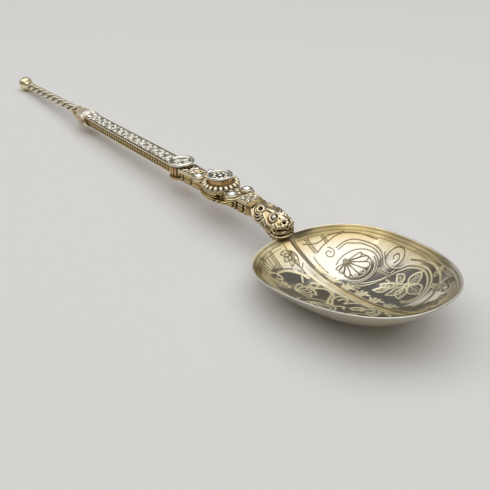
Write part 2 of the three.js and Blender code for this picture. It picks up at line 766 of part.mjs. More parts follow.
function twistedRod() {
  const count = rodStrands * pointsPerStrand;
  const points = [];
  for (let p = 0; p < count; p += 1) {
    const turn = (p / count) * 2 * Math.PI;
    const radius = rodRadius - strandGroove * (1 - Math.abs(Math.cos((turn * rodStrands) / 2)));
    points.push(new THREE.Vector2(radius * Math.cos(turn), radius * Math.sin(turn)));
  }
  const steps = rodTurns * stepsPerTurn;
  const section = new THREE.Shape(points);
  const bar = new THREE.ExtrudeGeometry(section, { depth: rodLength, steps, bevelEnabled: false });
  const place = bar.attributes.position;
  const at = new THREE.Vector3();
  const axis = new THREE.Vector3(0, 0, 1);
  for (let p = 0; p < place.count; p += 1) {
    at.fromBufferAttribute(place, p);
    const along = at.z / rodLength;
    const thin = THREE.MathUtils.lerp(1, rodEndRadius / rodRadius, along);
    at.x *= thin;
    at.y *= thin;
    at.applyAxisAngle(axis, -along * rodTurns * 2 * Math.PI);
    place.setXYZ(p, at.x, at.y, at.z);
  }
  return bar.rotateY(-Math.PI / 2).translate(-seatGap, 0, 0);
}

const rodEnd = -seatGap - rodLength;
const rodBody = solid(twistedRod())
  .add(solid(spigot(rodSpigotRadius, -rodSpigotLength, rodSpigotLength)))
  .add(solid(spigot(rodSpigotRadius, rodEnd - rodSpigotLength, rodEnd + rodSpigotLength)));
piece(rod, 'twisted_rod', giltBright, rodBody);

const knopBore = spigot(boreRadius, knopSeat - rodSpigotLength - tenonGap, 2 * knopRadius);
const ball = solid(bead(knopRadius, roundSides)).subtract(solid(knopBore));
const knop = piece(rod, 'ball_knop', giltBright, ball);
knop.position.x = rodEnd - knopSeat;

// The origin is under the middle of the whole spoon, on the table
spoon.updateWorldMatrix(true, true);
const reach = new THREE.Box3().setFromObject(spoon, true);
spoon.position.x = -(reach.min.x + reach.max.x) / 2;

export default spoon;
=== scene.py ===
import math
from contextlib import contextmanager

import bpy
import numpy as np
from mathutils import Euler, Matrix, Vector
from mathutils.kdtree import KDTree


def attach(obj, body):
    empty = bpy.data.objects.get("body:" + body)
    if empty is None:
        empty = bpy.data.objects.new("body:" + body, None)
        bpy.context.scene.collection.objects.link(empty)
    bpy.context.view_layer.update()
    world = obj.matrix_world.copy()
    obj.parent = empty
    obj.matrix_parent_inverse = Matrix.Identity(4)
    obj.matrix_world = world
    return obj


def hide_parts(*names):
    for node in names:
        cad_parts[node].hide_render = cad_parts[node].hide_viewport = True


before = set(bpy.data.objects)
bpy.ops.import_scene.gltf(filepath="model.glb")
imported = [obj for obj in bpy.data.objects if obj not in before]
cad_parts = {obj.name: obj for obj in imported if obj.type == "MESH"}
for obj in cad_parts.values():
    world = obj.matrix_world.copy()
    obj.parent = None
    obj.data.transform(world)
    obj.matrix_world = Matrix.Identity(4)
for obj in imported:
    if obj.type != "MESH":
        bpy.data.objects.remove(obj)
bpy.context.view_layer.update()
print("frame loaded:", len(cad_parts), "solids")

# pieces are modelled in millimetres and brought to metres when they are seated
perMm = 0.001
bothSides = (("left", 1), ("right", -1))
heel = (71.017, 7.902)  # x and z of the bowl's edge in the beast's mouth
headLength = 12.5
stemRise = 2.29  # underside of the stem over the heel
neckToDrum = 45.8
drumToRod = 86.8
rodRise = 2.95  # height of the rod's middle in the frame of the shaft
bowlSlope, stemSlope, shaftSlope, rodSlope = (math.radians(a) for a in (8.4, 3.8, 2.5, 3.12))


def runAt(x, z, climb):
    return Matrix.Translation((x, 0, z)) @ Matrix.Rotation(-climb, 4, "Y")


# straight runs of the spoon, each with its own X and placed in the frame of the run that it joins
headRun = Matrix.Scale(perMm, 4) @ runAt(*heel, 0)
bowlRun = headRun @ runAt(0, 0, bowlSlope)
stemRun = headRun @ runAt(-headLength, stemRise, stemSlope)
shaftRun = stemRun @ runAt(-neckToDrum, 0, shaftSlope - stemSlope)
rodRun = shaftRun @ runAt(-drumToRod, rodRise, rodSlope - shaftSlope)
runs = {"bowl": bowlRun, "head": headRun, "stem": stemRun, "shaft": shaftRun, "rod": rodRun}


class Wire:
    def __init__(self, tree, socket):
        self.tree = tree
        self.socket = socket

    def calc(self, operation, *values):
        node = self.tree.nodes.new("ShaderNodeMath")
        node.operation = operation
        for slot, value in zip(node.inputs, values):
            if isinstance(value, Wire):
                self.tree.links.new(value.socket, slot)
            else:
                slot.default_value = value
        return Wire(self.tree, node.outputs[0])

    def __add__(self, other):
        return self.calc("ADD", self, other)

    def __sub__(self, other):
        return self.calc("SUBTRACT", self, other)

    def __rsub__(self, other):
        return self.calc("SUBTRACT", other, self)

    def __mul__(self, other):
        return self.calc("MULTIPLY", self, other)

    def __pow__(self, other):
        return self.calc("POWER", self, other)

    __radd__ = __add__
    __rmul__ = __mul__

    def held(self, low=0.0, high=1.0):
        return self.calc("MINIMUM", self.calc("MAXIMUM", self, low), high)


class Finish:
    def __init__(self, name):
        self.material = bpy.data.materials.new(name)
        self.material.use_nodes = True
        self.tree = self.material.node_tree
        self.shader = self.tree.nodes["Principled BSDF"]

    def add(self, kind, settings=None, values=None, out=0):
        node = self.tree.nodes.new(kind)
        for key, value in (settings or {}).items():
            setattr(node, key, value)
        for key, value in (values or {}).items():
            self.feed(node.inputs[key], value)
        return Wire(self.tree, node.outputs[out])

    def feed(self, socket, value):
        if isinstance(value, Wire):
            self.tree.links.new(value.socket, socket)
        else:
            socket.default_value = value

    def set(self, name, value):
        self.feed(self.shader.inputs[name], value)

    def mark(self, name):
        return self.add("ShaderNodeAttribute", {"attribute_name": name}, out=2)

    def grain(self, scale, detail=3.0, rough=0.55, stretch=(1, 1, 1)):
        where = self.add("ShaderNodeTexCoord", out=3)
        spread = self.add("ShaderNodeMapping", None, {"Vector": where, "Scale": stretch})
        return self.add("ShaderNodeTexNoise", None,
                        {"Vector": spread, "Scale": scale, "Detail": detail, "Roughness": rough})

    def blend(self, share, first, second):
        # a Mix node takes its colours at sockets 6 and 7
        a, b = (value if isinstance(value, Wire) else opaque(value) for value in (first, second))
        return self.add("ShaderNodeMix", {"data_type": "RGBA"}, {0: share, 6: a, 7: b}, out=2)


def opaque(colour):
    return (*colour, 1.0)


# worn gilt silver; a finish takes from here what its own row doesn't give
plainLook = dict(
    gold=(0.78, 0.63, 0.34), silver=(0.90, 0.86, 0.74), brown=(0.38, 0.25, 0.09), dark=(0.022, 0.016, 0.008),
    cloudScale=220.0, cloud=0.8, paleness=0.2, rub=0.9, rubRough=-0.04, tarnish=0.9, tarnishFrom=0.45,
    hollowPower=0.75, hollowShare=1.2, hollowRough=0.3, hollowMetal=0.55, rough=0.26, cloudRough=0.12,
    speckScale=2600.0, speckRough=0.06, streakScale=900.0, streakStretch=(0.35, 1.4, 1.4), cutRough=0.36,
    bump=0.16, gritHeight=0.00006)

giltLooks = {
    "bright": dict(
        gold=(0.80, 0.65, 0.35), silver=(0.88, 0.83, 0.70), brown=(0.40, 0.27, 0.10), cloudScale=160.0,
        cloud=0.9, paleness=0.25, rub=0.8, hollowShare=1.25, rough=0.24, bump=0.12),
    "relief": dict(),
    "panel": dict(
        gold=(0.64, 0.57, 0.40), silver=(0.84, 0.83, 0.76), brown=(0.34, 0.26, 0.13),
        dark=(0.03, 0.024, 0.014), paleness=0.4, tarnish=0.8, rough=0.28),
    "cap": dict(
        gold=(0.74, 0.58, 0.35), silver=(0.90, 0.87, 0.78), brown=(0.44, 0.31, 0.14),
        dark=(0.03, 0.02, 0.01), cloudScale=200.0, cloud=0.7, paleness=0.0, rub=1.0, rubRough=-0.08,
        tarnish=0.8, hollowPower=0.8, hollowShare=1.3, rough=0.52, bump=0.10),
    "drum": dict(
        gold=(0.66, 0.44, 0.19), silver=(0.90, 0.87, 0.78), brown=(0.34, 0.20, 0.08),
        dark=(0.018, 0.012, 0.006), cloud=0.6, paleness=0.5, rub=0.6, rubRough=0.0, tarnish=0.7, rough=0.19,
        bump=0.10),
    # darker copy of the gilt for the stem, the shaft bands and the collar: painted shade
    "deep": dict(
        gold=(0.56, 0.37, 0.13), silver=(0.80, 0.66, 0.36), brown=(0.25, 0.14, 0.045),
        dark=(0.014, 0.010, 0.005), cloudScale=260.0, cloud=0.7, paleness=0.05, rubRough=-0.03, tarnish=1.2,
        hollowPower=0.7, rough=0.28),
    "beast": dict(
        gold=(0.70, 0.49, 0.21), silver=(0.92, 0.82, 0.60), brown=(0.32, 0.19, 0.07),
        dark=(0.010, 0.007, 0.004), cloudScale=240.0, paleness=0.12, rub=1.0, tarnish=1.1, hollowPower=0.6,
        hollowShare=1.35),
    "bead": dict(
        gold=(0.90, 0.84, 0.66), silver=(0.95, 0.94, 0.90), brown=(0.55, 0.45, 0.28),
        dark=(0.05, 0.04, 0.03), cloudScale=300.0, cloud=0.5, paleness=0.75, rub=0.6, rubRough=0.0,
        tarnish=0.3, hollowPower=1.0, hollowShare=0.9, rough=0.22, bump=0.06),
    "rod": dict(
        gold=(0.78, 0.64, 0.38), silver=(0.90, 0.84, 0.68), brown=(0.44, 0.31, 0.14),
        dark=(0.06, 0.042, 0.018), cloudScale=200.0, cloud=0.7, paleness=0.5, rub=0.5, rubRough=0.0,
        tarnish=0.6, hollowPower=0.9, rough=0.36, bump=0.10),
    "knop": dict(
        gold=(0.88, 0.76, 0.42), silver=(0.94, 0.89, 0.70), brown=(0.55, 0.42, 0.18),
        dark=(0.04, 0.03, 0.01), cloudScale=200.0, cloud=0.6, paleness=0.4, rub=0.2, rubRough=0.0,
        tarnish=0.4, hollowPower=1.0, rough=0.28, bump=0.05),
    "bowl": dict(
        gold=(0.64, 0.49, 0.21), silver=(0.82, 0.80, 0.72), brown=(0.46, 0.33, 0.15),
        dark=(0.05, 0.036, 0.016), line=(0.19, 0.15, 0.075), lineLight=(1.0, 0.92, 0.61), cloudScale=60.0,
        cloud=0.7, paleness=0.9, rub=0.4, rubRough=0.3, tarnish=0.35, hollowPower=1.0, hollowShare=0.9,
        rough=0.15, bump=0.03),
}


def giltFinish(name, own):
    # gold in the flats, silver where the piece is rubbed or carries a painted highlight, and dark in the
    # hollows as painted shade
    look = {**plainLook, **own}
    gilt = Finish("gilt_" + name)
    wearAndShading = gilt.mark("wearAndShading")
    rubAndSheen = wearAndShading.held()
    hollow = (wearAndShading * -1.0).held()
    clouds = gilt.grain(look["cloudScale"], detail=4.0)
    specks = gilt.grain(look["speckScale"], detail=2.0)
    streaks = gilt.grain(look["streakScale"], rough=0.6, stretch=look["streakStretch"])
    pale = rubAndSheen * look["rub"] + (clouds - 0.5) * look["cloud"] + look["paleness"] - gilt.mark("gold")
    skin = gilt.blend(pale.held(), look["gold"], look["silver"])
    skin = gilt.blend(((streaks - look["tarnishFrom"]) * look["tarnish"]).held(), skin, look["brown"])
    dark = (hollow ** look["hollowPower"] * look["hollowShare"]).held()
    rough = look["rough"] + (clouds - 0.5) * look["cloudRough"] + (specks - 0.5) * look["speckRough"]
    rough = rough + dark * look["hollowRough"] + rubAndSheen * look["rubRough"]
    if "line" in look:  # engraved lines, bright where gilding is left in them
        cut = gilt.mark("cut").held()
        skin = gilt.blend(cut, skin, gilt.blend(gilt.mark("tone").held(), look["line"], look["lineLight"]))
        rough = rough + cut * look["cutRough"]
    gilt.set("Base Color", gilt.blend(dark, skin, look["dark"]))
    gilt.set("Metallic", 1.0 - dark * look["hollowMetal"])
    gilt.set("Roughness", rough.held(0.05, 0.9))
    grit = {"Strength": look["bump"], "Distance": look["gritHeight"], "Height": specks * 0.5 + streaks * 0.5}
    gilt.set("Normal", gilt.add("ShaderNodeBump", None, grit))
    return gilt.material


finishes = {name: giltFinish(name, own) for name, own in giltLooks.items()}
print("finishes:", ", ".join(finishes))


# handling of pieces and their points

def freshStart():
    if bpy.context.object and bpy.context.object.mode != "OBJECT":
        bpy.ops.object.mode_set(mode="OBJECT")
    bpy.ops.object.select_all(action="DESELECT")


def pick(*pieces):
    freshStart()
    for piece in pieces:
        piece.select_set(True)
    bpy.context.view_layer.objects.active = pieces[0]


@contextmanager
def editing(piece, select="SELECT"):
    # edit mode for the lines under it
    pick(piece)
    bpy.ops.object.mode_set(mode="EDIT")
    if select:
        bpy.ops.mesh.select_all(action=select)
    yield
    bpy.ops.object.mode_set(mode="OBJECT")


def readAll(items, name, width=1, kind=float):
    flat = np.empty(len(items) * width, kind)
    items.foreach_get(name, flat)
    return flat if width == 1 else flat.reshape(-1, width)


def pointsOf(piece):
    return readAll(piece.data.vertices, "co", 3)


def normalsOf(piece):
    return readAll(piece.data.vertex_normals, "vector", 3)


def chosenOf(piece):
    return readAll(piece.data.vertices, "select", 1, bool)


def pairsOf(piece):
    return readAll(piece.data.edges, "vertices", 2, int).T


def markOf(piece, name):
    return readAll(piece.data.attributes[name].data, "value", 1, np.float32)


def movePoints(piece, *columns):
    # x, y and z apart, or all in one array
    points = np.stack(columns, 1) if len(columns) == 3 else columns[0]
    piece.data.vertices.foreach_set("co", np.ascontiguousarray(points, float).ravel())
    piece.data.update()


def markPoints(piece, name, values):
    layer = piece.data.attributes.get(name) or piece.data.attributes.new(name, "FLOAT", "POINT")
    spread = np.broadcast_to(np.asarray(values, np.float32), len(piece.data.vertices))
    layer.data.foreach_set("value", np.ascontiguousarray(spread))


def shift(piece, x=0, y=0, z=0):
    piece.data.transform(Matrix.Translation((x, y, z)))
    return piece


def closeUp(piece, fill=True):
    with editing(piece):
        bpy.ops.mesh.remove_doubles(threshold=0.0004)
        if fill:
            bpy.ops.mesh.fill_holes(sides=0)
            bpy.ops.mesh.select_all(action="SELECT")
        bpy.ops.mesh.normals_make_consistent(inside=False)
    return piece


def applyModifier(piece, kind, **settings):
    pick(piece)
    modifier = piece.modifiers.new(kind.lower(), kind)
    for key, value in settings.items():
        setattr(modifier, key, value)
    bpy.ops.object.modifier_apply(modifier=modifier.name)


def joinAll(pieces):
    pick(*pieces)
    bpy.ops.object.join()
    return bpy.context.object


def ringOf(piece, count, start=0.0):
    # copies of a piece in a ring about Z, in place of the piece itself
    copies = []
    for k in range(count):
        twin = piece.copy()
        twin.data = piece.data.copy()
        bpy.context.scene.collection.objects.link(twin)
        twin.data.transform(Matrix.Rotation(2 * math.pi * (k + start) / count, 4, "Z"))
        copies.append(twin)
    bpy.data.objects.remove(piece)
    return copies


def gather(pairs, count, toFirst=None, toSecond=None):
    # at each point, the sum over its edges
    return np.bincount(pairs[0], toFirst, count) + np.bincount(pairs[1], toSecond, count)


def spreadOver(piece, values, rounds):
    # each point takes the mean of itself and its neighbours
    a, b = pairs = pairsOf(piece)
    degree = gather(pairs, len(values)) + 1
    for _ in range(rounds):
        values = (values + gather(pairs, len(values), values[b], values[a])) / degree
    return values


def bendOf(piece):
    # how sharply the surface bends at each point, in 1/mm: below 0 in a hollow
    points, normals = pointsOf(piece), normalsOf(piece)
    a, b = pairs = pairsOf(piece)
    step = points[b] - points[a]
    square = np.maximum((step ** 2).sum(1), 1e-8)
    rises = (normals[a] * step).sum(1) / square, -(normals[b] * step).sum(1) / square
    return -2 * gather(pairs, len(points), *rises) / np.maximum(gather(pairs, len(points)), 1)


def markWearAndShading(piece, reach, rounds, extra=0.0):
    # above 0 the surface is rubbed pale, below 0 a hollow is painted dark as painted shade
    wearAndShading = spreadOver(piece, np.clip(bendOf(piece) * reach, -2, 2), rounds)
    markPoints(piece, "wearAndShading", np.clip(wearAndShading + extra, -1, 1))


def seat(piece, name, node, run, finish, slotName, sharpFrom):
    # edges sharper than sharpFrom degrees stay sharp, and the piece stands for its CAD node
    pick(piece)
    bpy.ops.object.shade_smooth_by_angle(angle=math.radians(sharpFrom))
    piece.name = name
    piece.data.name = name
    piece.data.transform(runs[run] @ piece.matrix_basis)
    piece.matrix_basis = Matrix.Identity(4)
    piece.data.materials.clear()
    piece.data.materials.append(finishes[finish])
    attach(piece, "root")
    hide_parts(node)
    print("seated", name, len(piece.data.polygons), "faces")


# basic shapes

def grid(stepsU, stepsV):
    # a flat grid whose X and Y run from 0 to 1
    freshStart()
    bpy.ops.mesh.primitive_grid_add(x_subdivisions=stepsU, y_subdivisions=stepsV, size=2)
    piece = bpy.context.object
    x, y, _ = pointsOf(piece).T
    return piece, (x + 1) / 2, (y + 1) / 2


def tube(steps, pointAt):
    # a grid rolled up and closed: pointAt gets shares along and round
    piece, along, around = grid(*steps)
    movePoints(piece, *pointAt(along, around))
    return closeUp(piece)


def draw(points):
    # one point pulled from place to place, left in edit mode with all of it selected
    freshStart()
    bpy.ops.mesh.primitive_plane_add(size=1)
    bpy.ops.object.mode_set(mode="EDIT")
    bpy.ops.mesh.select_all(action="SELECT")
    bpy.ops.mesh.merge(type="CENTER")
    bpy.ops.transform.translate(value=points[0])
    for before, after in zip(points, points[1:]):
        step = [b - a for a, b in zip(before, after)]
        bpy.ops.mesh.extrude_region_move(TRANSFORM_OT_translate={"value": step})
    bpy.ops.mesh.select_all(action="SELECT")
    return bpy.context.object


def lathe(profile, steps):
    # a profile of radius and height, spun about Z
    piece = draw([(r, 0, z) for r, z in profile])
    bpy.ops.mesh.spin(steps=steps, angle=2 * math.pi, center=(0, 0, 0), axis=(0, 0, 1))
    return closeUp(piece)


def roundOff(profile, share=0.4, steps=3):
    # a profile with its inner corners cut round
    made = [profile[0]]
    for before, at, after in zip(profile, profile[1:], profile[2:]):
        p, q, s = Vector(before), Vector(at), Vector(after)
        first, last = q.lerp(p, share), q.lerp(s, share)
        for step in range(steps + 1):
            t = step / steps
            made.append(tuple((first.lerp(q, t)).lerp(q.lerp(last, t), t)))
    return made + [profile[-1]]


def turned(profile, steps, ends=None, share=0.4):
    # a rounded profile, closed to the axis at the heights of its ends
    foot, top = ends or (profile[0][1], profile[-1][1])
    return lathe([(0, foot), *roundOff(profile, share), (0, top)], steps)


def drawnBar(section, start, end, endWidth):
    # a section of y and z, filled and pulled out along X
    piece = draw([(start, y, z) for y, z in section])
    bpy.ops.mesh.edge_face_add()
    bpy.ops.mesh.extrude_region_move(TRANSFORM_OT_translate={"value": (end - start, 0, 0)})
    bpy.ops.transform.resize(value=(1, endWidth, 1), center_override=(end, 0, 0))
    bpy.ops.mesh.select_all(action="SELECT")
    bpy.ops.mesh.normals_make_consistent(inside=False)
    bpy.ops.object.mode_set(mode="OBJECT")
    return piece


def ball(x, y, z, size, segments, rings):
    freshStart()
    bpy.ops.mesh.primitive_uv_sphere_add(segments=segments, ring_count=rings, radius=1)
    piece = bpy.context.object
    piece.data.transform(Matrix.Translation((x, y, z)) @ Matrix.Diagonal((*size, 1)))
    return piece


def ring(x, y, z, major, minor, segments, sides, tilt=(0, 0, 0)):
    freshStart()
    bpy.ops.mesh.primitive_torus_add(major_radius=major, minor_radius=minor, major_segments=segments,
                                     minor_segments=sides)
    piece = bpy.context.object
    piece.data.transform(Euler([math.radians(a) for a in tilt]).to_matrix().to_4x4())
    return shift(piece, x, y, z)


def moulding(outline, profile):
    # a profile of offset and height, carried round an outline and closed along the middle line
    count = len(outline)
    offset, height = np.array([profile[0], *profile, profile[-1]], float).T
    last = len(height) - 1
    piece, around, along = grid(count, last)
    i = np.rint(around * count).astype(int) % count
    j = np.rint(along * last).astype(int)
    edge = np.roll(outline, -1, 0) - np.roll(outline, 1, 0)
    normal = np.stack([edge[:, 1], -edge[:, 0]], 1) / np.linalg.norm(edge, axis=1)[:, None]
    x, y = (outline[i] + normal[i] * offset[j][:, None]).T
    movePoints(piece, x, np.where((j == 0) | (j == last), 0, y), height[j])
    return closeUp(piece)


def flatPlan(back, front, halfAt):
    # X from back to front, Y across to half the width at X
    def planAt(u, v):
        x = back + (front - back) * u
        return x, (2 * v - 1) * halfAt(x)

    return planAt


def sideOutline(halfAt, back, front, count):
    x = np.linspace(back, front, count)
    y = halfAt(x)
    return np.vstack([np.stack([x, -y], 1), np.stack([x[::-1], y[::-1]], 1)])


carved = dict(contrast=1.6, level=0.8)  # how the height of a carved plate turns into wear and painted shade


def relief(steps, planAt, heightAt, low, reach, depth):
    # a plate whose top is carved, with straight sides down to low
    piece, u, v = grid(*steps)
    x, y = planAt(u, v)
    height = heightAt(x, y)
    movePoints(piece, x, y, height)
    markPoints(piece, "lift", (height - height.min()) / np.ptp(height))
    with editing(piece):
        bpy.ops.mesh.region_to_loop()
        bpy.ops.mesh.extrude_region_move()
    points = pointsOf(piece)
    points[chosenOf(piece), 2] = low
    movePoints(piece, points)
    closeUp(piece)
    lift = np.clip(markOf(piece, "lift") * carved["contrast"], 0, 1)
    markWearAndShading(piece, reach, rounds=1, extra=(lift - carved["level"]) * depth)
    return piece


# values over a surface

def ramp(values, start, full):
    # 0 at start, 1 at full
    return np.clip((values - start) / (full - start), 0, 1)


def stroke(distance, rise, width):
    # a soft ridge, or a groove where the rise is below 0
    return rise * np.exp(-(distance / width) ** 2)


def facingUp(normals, start=0.0):
    # 1 where the surface looks up, 0 on the flanks and below
    return np.clip(normals[:, 2] * 2 - start, 0, 1)


def eased(table, at):
    # smooth values between the rows of a two-column table
    knots, values = np.array(table, float).T
    slope = np.gradient(values, knots)
    index = np.clip(np.searchsorted(knots, at, side="right") - 1, 0, len(knots) - 2)
    step = knots[index + 1] - knots[index]
    t = np.clip((at - knots[index]) / step, 0, 1)
    a, b = values[index], values[index + 1]
    m, n = slope[index] * step, slope[index + 1] * step
    return ((2 * t ** 3 - 3 * t ** 2 + 1) * a + (t ** 3 - 2 * t ** 2 + t) * m
            + (3 * t ** 2 - 2 * t ** 3) * b + (t ** 3 - t ** 2) * n)


def squarish(around, halfWide, halfHigh, power):
    # a point on an oval that is squarer than an ellipse
    c, s = np.cos(around * 2 * math.pi), np.sin(around * 2 * math.pi)
    return halfWide * np.sign(c) * np.abs(c) ** (2 / power), halfHigh * np.sign(s) * np.abs(s) ** (2 / power)


def discPlan(u, v):
    # a square grid spread over a round disc
    a, b = 2 * u - 1, 2 * v - 1
    return a * np.sqrt(1 - b ** 2 / 2), b * np.sqrt(1 - a ** 2 / 2)


# drawn lines, as lists of points in millimetres
lineStep = 0.08
fineLines = []  # veins and hatching, cut with a thinner tool


def through(points):
    # a smooth line through the points
    p = np.array(points, float)
    if len(p) == 2:
        count = max(int(np.linalg.norm(p[1] - p[0]) / lineStep), 2)
        return p[0] + np.linspace(0, 1, count)[:, None] * (p[1] - p[0])
    ends = np.vstack([2 * p[0] - p[1], p, 2 * p[-1] - p[-2]])
    made = []
    for a, b, c, d in zip(ends, ends[1:], ends[2:], ends[3:]):
        count = max(int(np.linalg.norm(c - b) / lineStep), 2)
        t = np.linspace(0, 1, count, endpoint=False)[:, None]
        made.append(0.5 * (2 * b + (c - a) * t + (2 * a - 5 * b + 4 * c - d) * t ** 2
                           + (3 * b - a - 3 * c + d) * t ** 3))
    return np.vstack(made + [p[-1:]])


def strokes(*routes):
    return [through(route) for route in routes]


def arc(x, y, radius, fromDeg, toDeg, endRadius=None):
    # part of a circle, or of a spiral where the radius changes
    last = radius if endRadius is None else endRadius
    count = max(int(abs(math.radians(toDeg - fromDeg)) * max(radius, last) / lineStep), 6)
    turn = np.radians(np.linspace(fromDeg, toDeg, count))
    reach = np.linspace(radius, last, count)
    return np.stack([x + reach * np.cos(turn), y + reach * np.sin(turn)], 1)


def leaf(baseX, baseY, tipX, tipY, width, veins=3, curl=0.0):
    # outline of a pointed leaf, with its midrib and veins among the fine lines
    base, tip = np.array((baseX, baseY), float), np.array((tipX, tipY), float)
    run = tip - base
    side = np.array((-run[1], run[0])) / np.linalg.norm(run)
    bow = side * curl
    fineLines.append(through([base, base + run * 0.5 + bow * 0.8, tip]))
    for vein in range(veins):
        foot = base + run * (0.2 + 0.6 * vein / veins) + bow * 0.6
        fineLines.extend(through([foot, foot + run * 0.16 + side * hand * width * 0.3]) for hand in (1, -1))
    return [through([base, base + run * 0.35 + side * hand * width / 2 + bow * 0.6,
                     base + run * 0.7 + side * hand * width * 0.42 + bow, tip]) for hand in (1, -1)]


def petal(rootX, rootY, degrees, inner, outer, width):
    # a loop with a round end, on a ray from the root
    turn = math.radians(degrees)
    ray, side = np.array((math.cos(turn), math.sin(turn))), np.array((-math.sin(turn), math.cos(turn)))
    mid, end = inner + (outer - inner) * 0.62, outer - width * 0.28
    outline = (inner, 0), (mid, 0.42), (end, 0.4), (outer, 0), (end, -0.4), (mid, -0.42), (inner, 0)
    return through([(rootX, rootY) + ray * reach + side * width * out for reach, out in outline])


def hatchedBar(ax, ay, bx, by, width, count):
    # two edges, with slanting strokes between them among the fine lines
    a, b = np.array((ax, ay), float), np.array((bx, by), float)
    side = np.array((-(b - a)[1], (b - a)[0])) / np.linalg.norm(b - a) * width / 2
    for k in range(count):
        foot, top = a + (b - a) * (k + 0.2) / count, a + (b - a) * (k + 0.8) / count
        fineLines.append(through([foot - side * 0.6, top + side * 0.6]))
    return strokes([a + side, b + side], [a - side, b - side])


def each(drawOne, rows):
    # all lines of several leaves or bars
    return [line for row in rows for line in drawOne(*row)]


def distanceTo(lines, x, y):
    samples = np.vstack(lines)
    tree = KDTree(len(samples))
    for index, sample in enumerate(samples):
        tree.insert((*sample, 0.0), index)
    tree.balance()
    return np.array([tree.find((px, py, 0.0))[2] for px, py in zip(x, y)])


# bowl: a dish of two lobes with a ridge between them; X from the heel, Z from the plane of the rim
bowl = dict(
    length=64.1, width=50.2, depth=11.75, wall=1.0, widest=25.0, deepest=30.0, outlinePower=2.25,
    dishPower=2.8, innerPower=2.2, steps=(306, 261), underSteps=(102, 87), underInset=0.02, underDrop=0.14,
    underGold=0.25, ridgeHeight=1.35, ridgeHalf=1.95, ridgeTaper=0.6, taperRun=(8, 50), crestRound=0.35,
    ridgeSolid=0.6, ridgeFade=11, footGap=0.2, footRun=(2.5, 57), footPoints=40, rimWidth=0.6,
    rimSteps=((0.5, 0.12), (0.38, 0.22), (0.2, 0.22), (0.07, 0.11), (0.0, -0.12)),  # inset, height
    beaten=0.022, calmEdge=3, waves=((9.5, 0.4, 0.0), (7.1, 1.9, 1.3), (6.3, 2.8, 4.0), (12.0, 1.1, 2.2)))

# the bowl's engraving: widths and depth of the cuts, and the bands along the rim, by inset and degrees
tooling = dict(
    line=0.15, gilt=0.07, bold=0.36, fine=0.13, depth=0.09, fineShare=0.7, faintShare=0.45,
    borders=(1.0, 1.9, 2.8), borderTurn=172, hatched=(52, 84, 118, 150, -60, -95, -130, 22, -24), hatches=7,
    hatchStep=2.0, hatchLean=0.7, nearBorder=(5.3, -152, -16), ropeTurn=(-152, -18, 4.2),
    ropeInset=(3.1, 5.0), ropeLean=(0, 1.0, 2.3), rimStep=0.12)

# where the bowl is painted dark (painted shade and shadow), pale (painted highlight) or gilt: runs go from
# none to full, and a shade is the share at full
bowlShadingAndGilt = dict(
    lineShade=0.1, rimRun=(0.87, 0.95), rimShade=0.16, rimMottle=0.3, mottle=((0.5, 5, 0.6), (0.35, 13, 2)),
    heelRun=(8, 2), heelShade=0.22, heelCrest=1.1, mouthRun=(3.0, 1.6), mouthShade=0.4, footWidth=0.32,
    footFrom=(4, 7), footTo=(56, 50), footShade=0.6, flankAt=1.1, flankWidth=0.5, flankRun=(9, 14),
    flankShade=0.25, crestWidth=1.4, crestRun=(8, 14), crestShade=0.15, groundSide=(-1.8, -2.8),
    groundRun=(15, 19), groundEdge=(0.98, 0.95), groundCut=1.4, fieldRun=(10, 6), fieldSide=(-2, -4),
    fieldCut=0.3, fieldShine=0.3, fieldTone=0.75, fieldEdge=3, farGilt=(25, 31), farSlant=0.9, farLevel=6,
    nearGilt=(10, 13), giltEdge=0.965, giltEnd=(49, 53), ringGold=(0.72, 0.92), ringEnd=(44, 54),
    ringLoss=0.7, heelGold=(9.5, 3.5), nearHeel=0.45, ridgeGold=1.6, ridgeRun=(11, 25), goldShare=0.75,
    lineGold=0.3, lineMark=1.3)


def reachTo(x, middle, inset):
    # share of the way from the middle to either end of the bowl
    reach = np.where(x < middle, middle, bowl["length"] - middle) - inset
    return np.minimum(np.abs(x - middle) / reach, 1)


def rimHalf(x, inset):
    share = reachTo(x, bowl["widest"], inset)
    return (bowl["width"] / 2 - inset) * (1 - share ** bowl["outlinePower"]) ** (1 / bowl["outlinePower"])


def taperAt(x):
    return 1 - bowl["ridgeTaper"] * ramp(x, *bowl["taperRun"])


def dishHeight(x, y, inset, depth, ridge, power):
    along = reachTo(x, bowl["deepest"], inset)
    across = np.minimum(np.abs(y) / np.maximum(rimHalf(x, inset), 1e-6), 1)
    fall = (1 - along ** bowl["dishPower"]) * (1 - across ** power)
    fromCrest = np.hypot(y, bowl["crestRound"]) - bowl["crestRound"]
    slope = np.maximum(1 - fromCrest / (bowl["ridgeHalf"] * taperAt(x)), 0)
    fade = (1 - along ** bowl["ridgeFade"]) * (1 - across ** bowl["dishPower"])
    return -depth * fall + ridge * taperAt(x) * slope ** 2 * fade


def outlineAt(turn, inset):
    reach = np.where(np.cos(turn) > 0, bowl["length"] - bowl["widest"], bowl["widest"]) - inset
    half = bowl["width"] / 2 - inset
    power = bowl["outlinePower"]
    return (np.abs(np.cos(turn) / reach) ** power + np.abs(np.sin(turn) / half) ** power) ** (-1 / power)


def onRim(turn, inset, share=1.0):
    # x and y of the egg-shaped outline, or a share of the way to it
    reach = outlineAt(turn, inset) * share
    return bowl["widest"] + reach * np.cos(turn), reach * np.sin(turn)


def dishPlan(u, v, inset):
    dx, dy = discPlan(u, v)
    return onRim(np.arctan2(dy, dx), inset, np.hypot(dx, dy))


def rimLine(inset, fromDeg, toDeg):
    return np.stack(onRim(np.radians(np.arange(fromDeg, toDeg, tooling["rimStep"])), inset), 1)


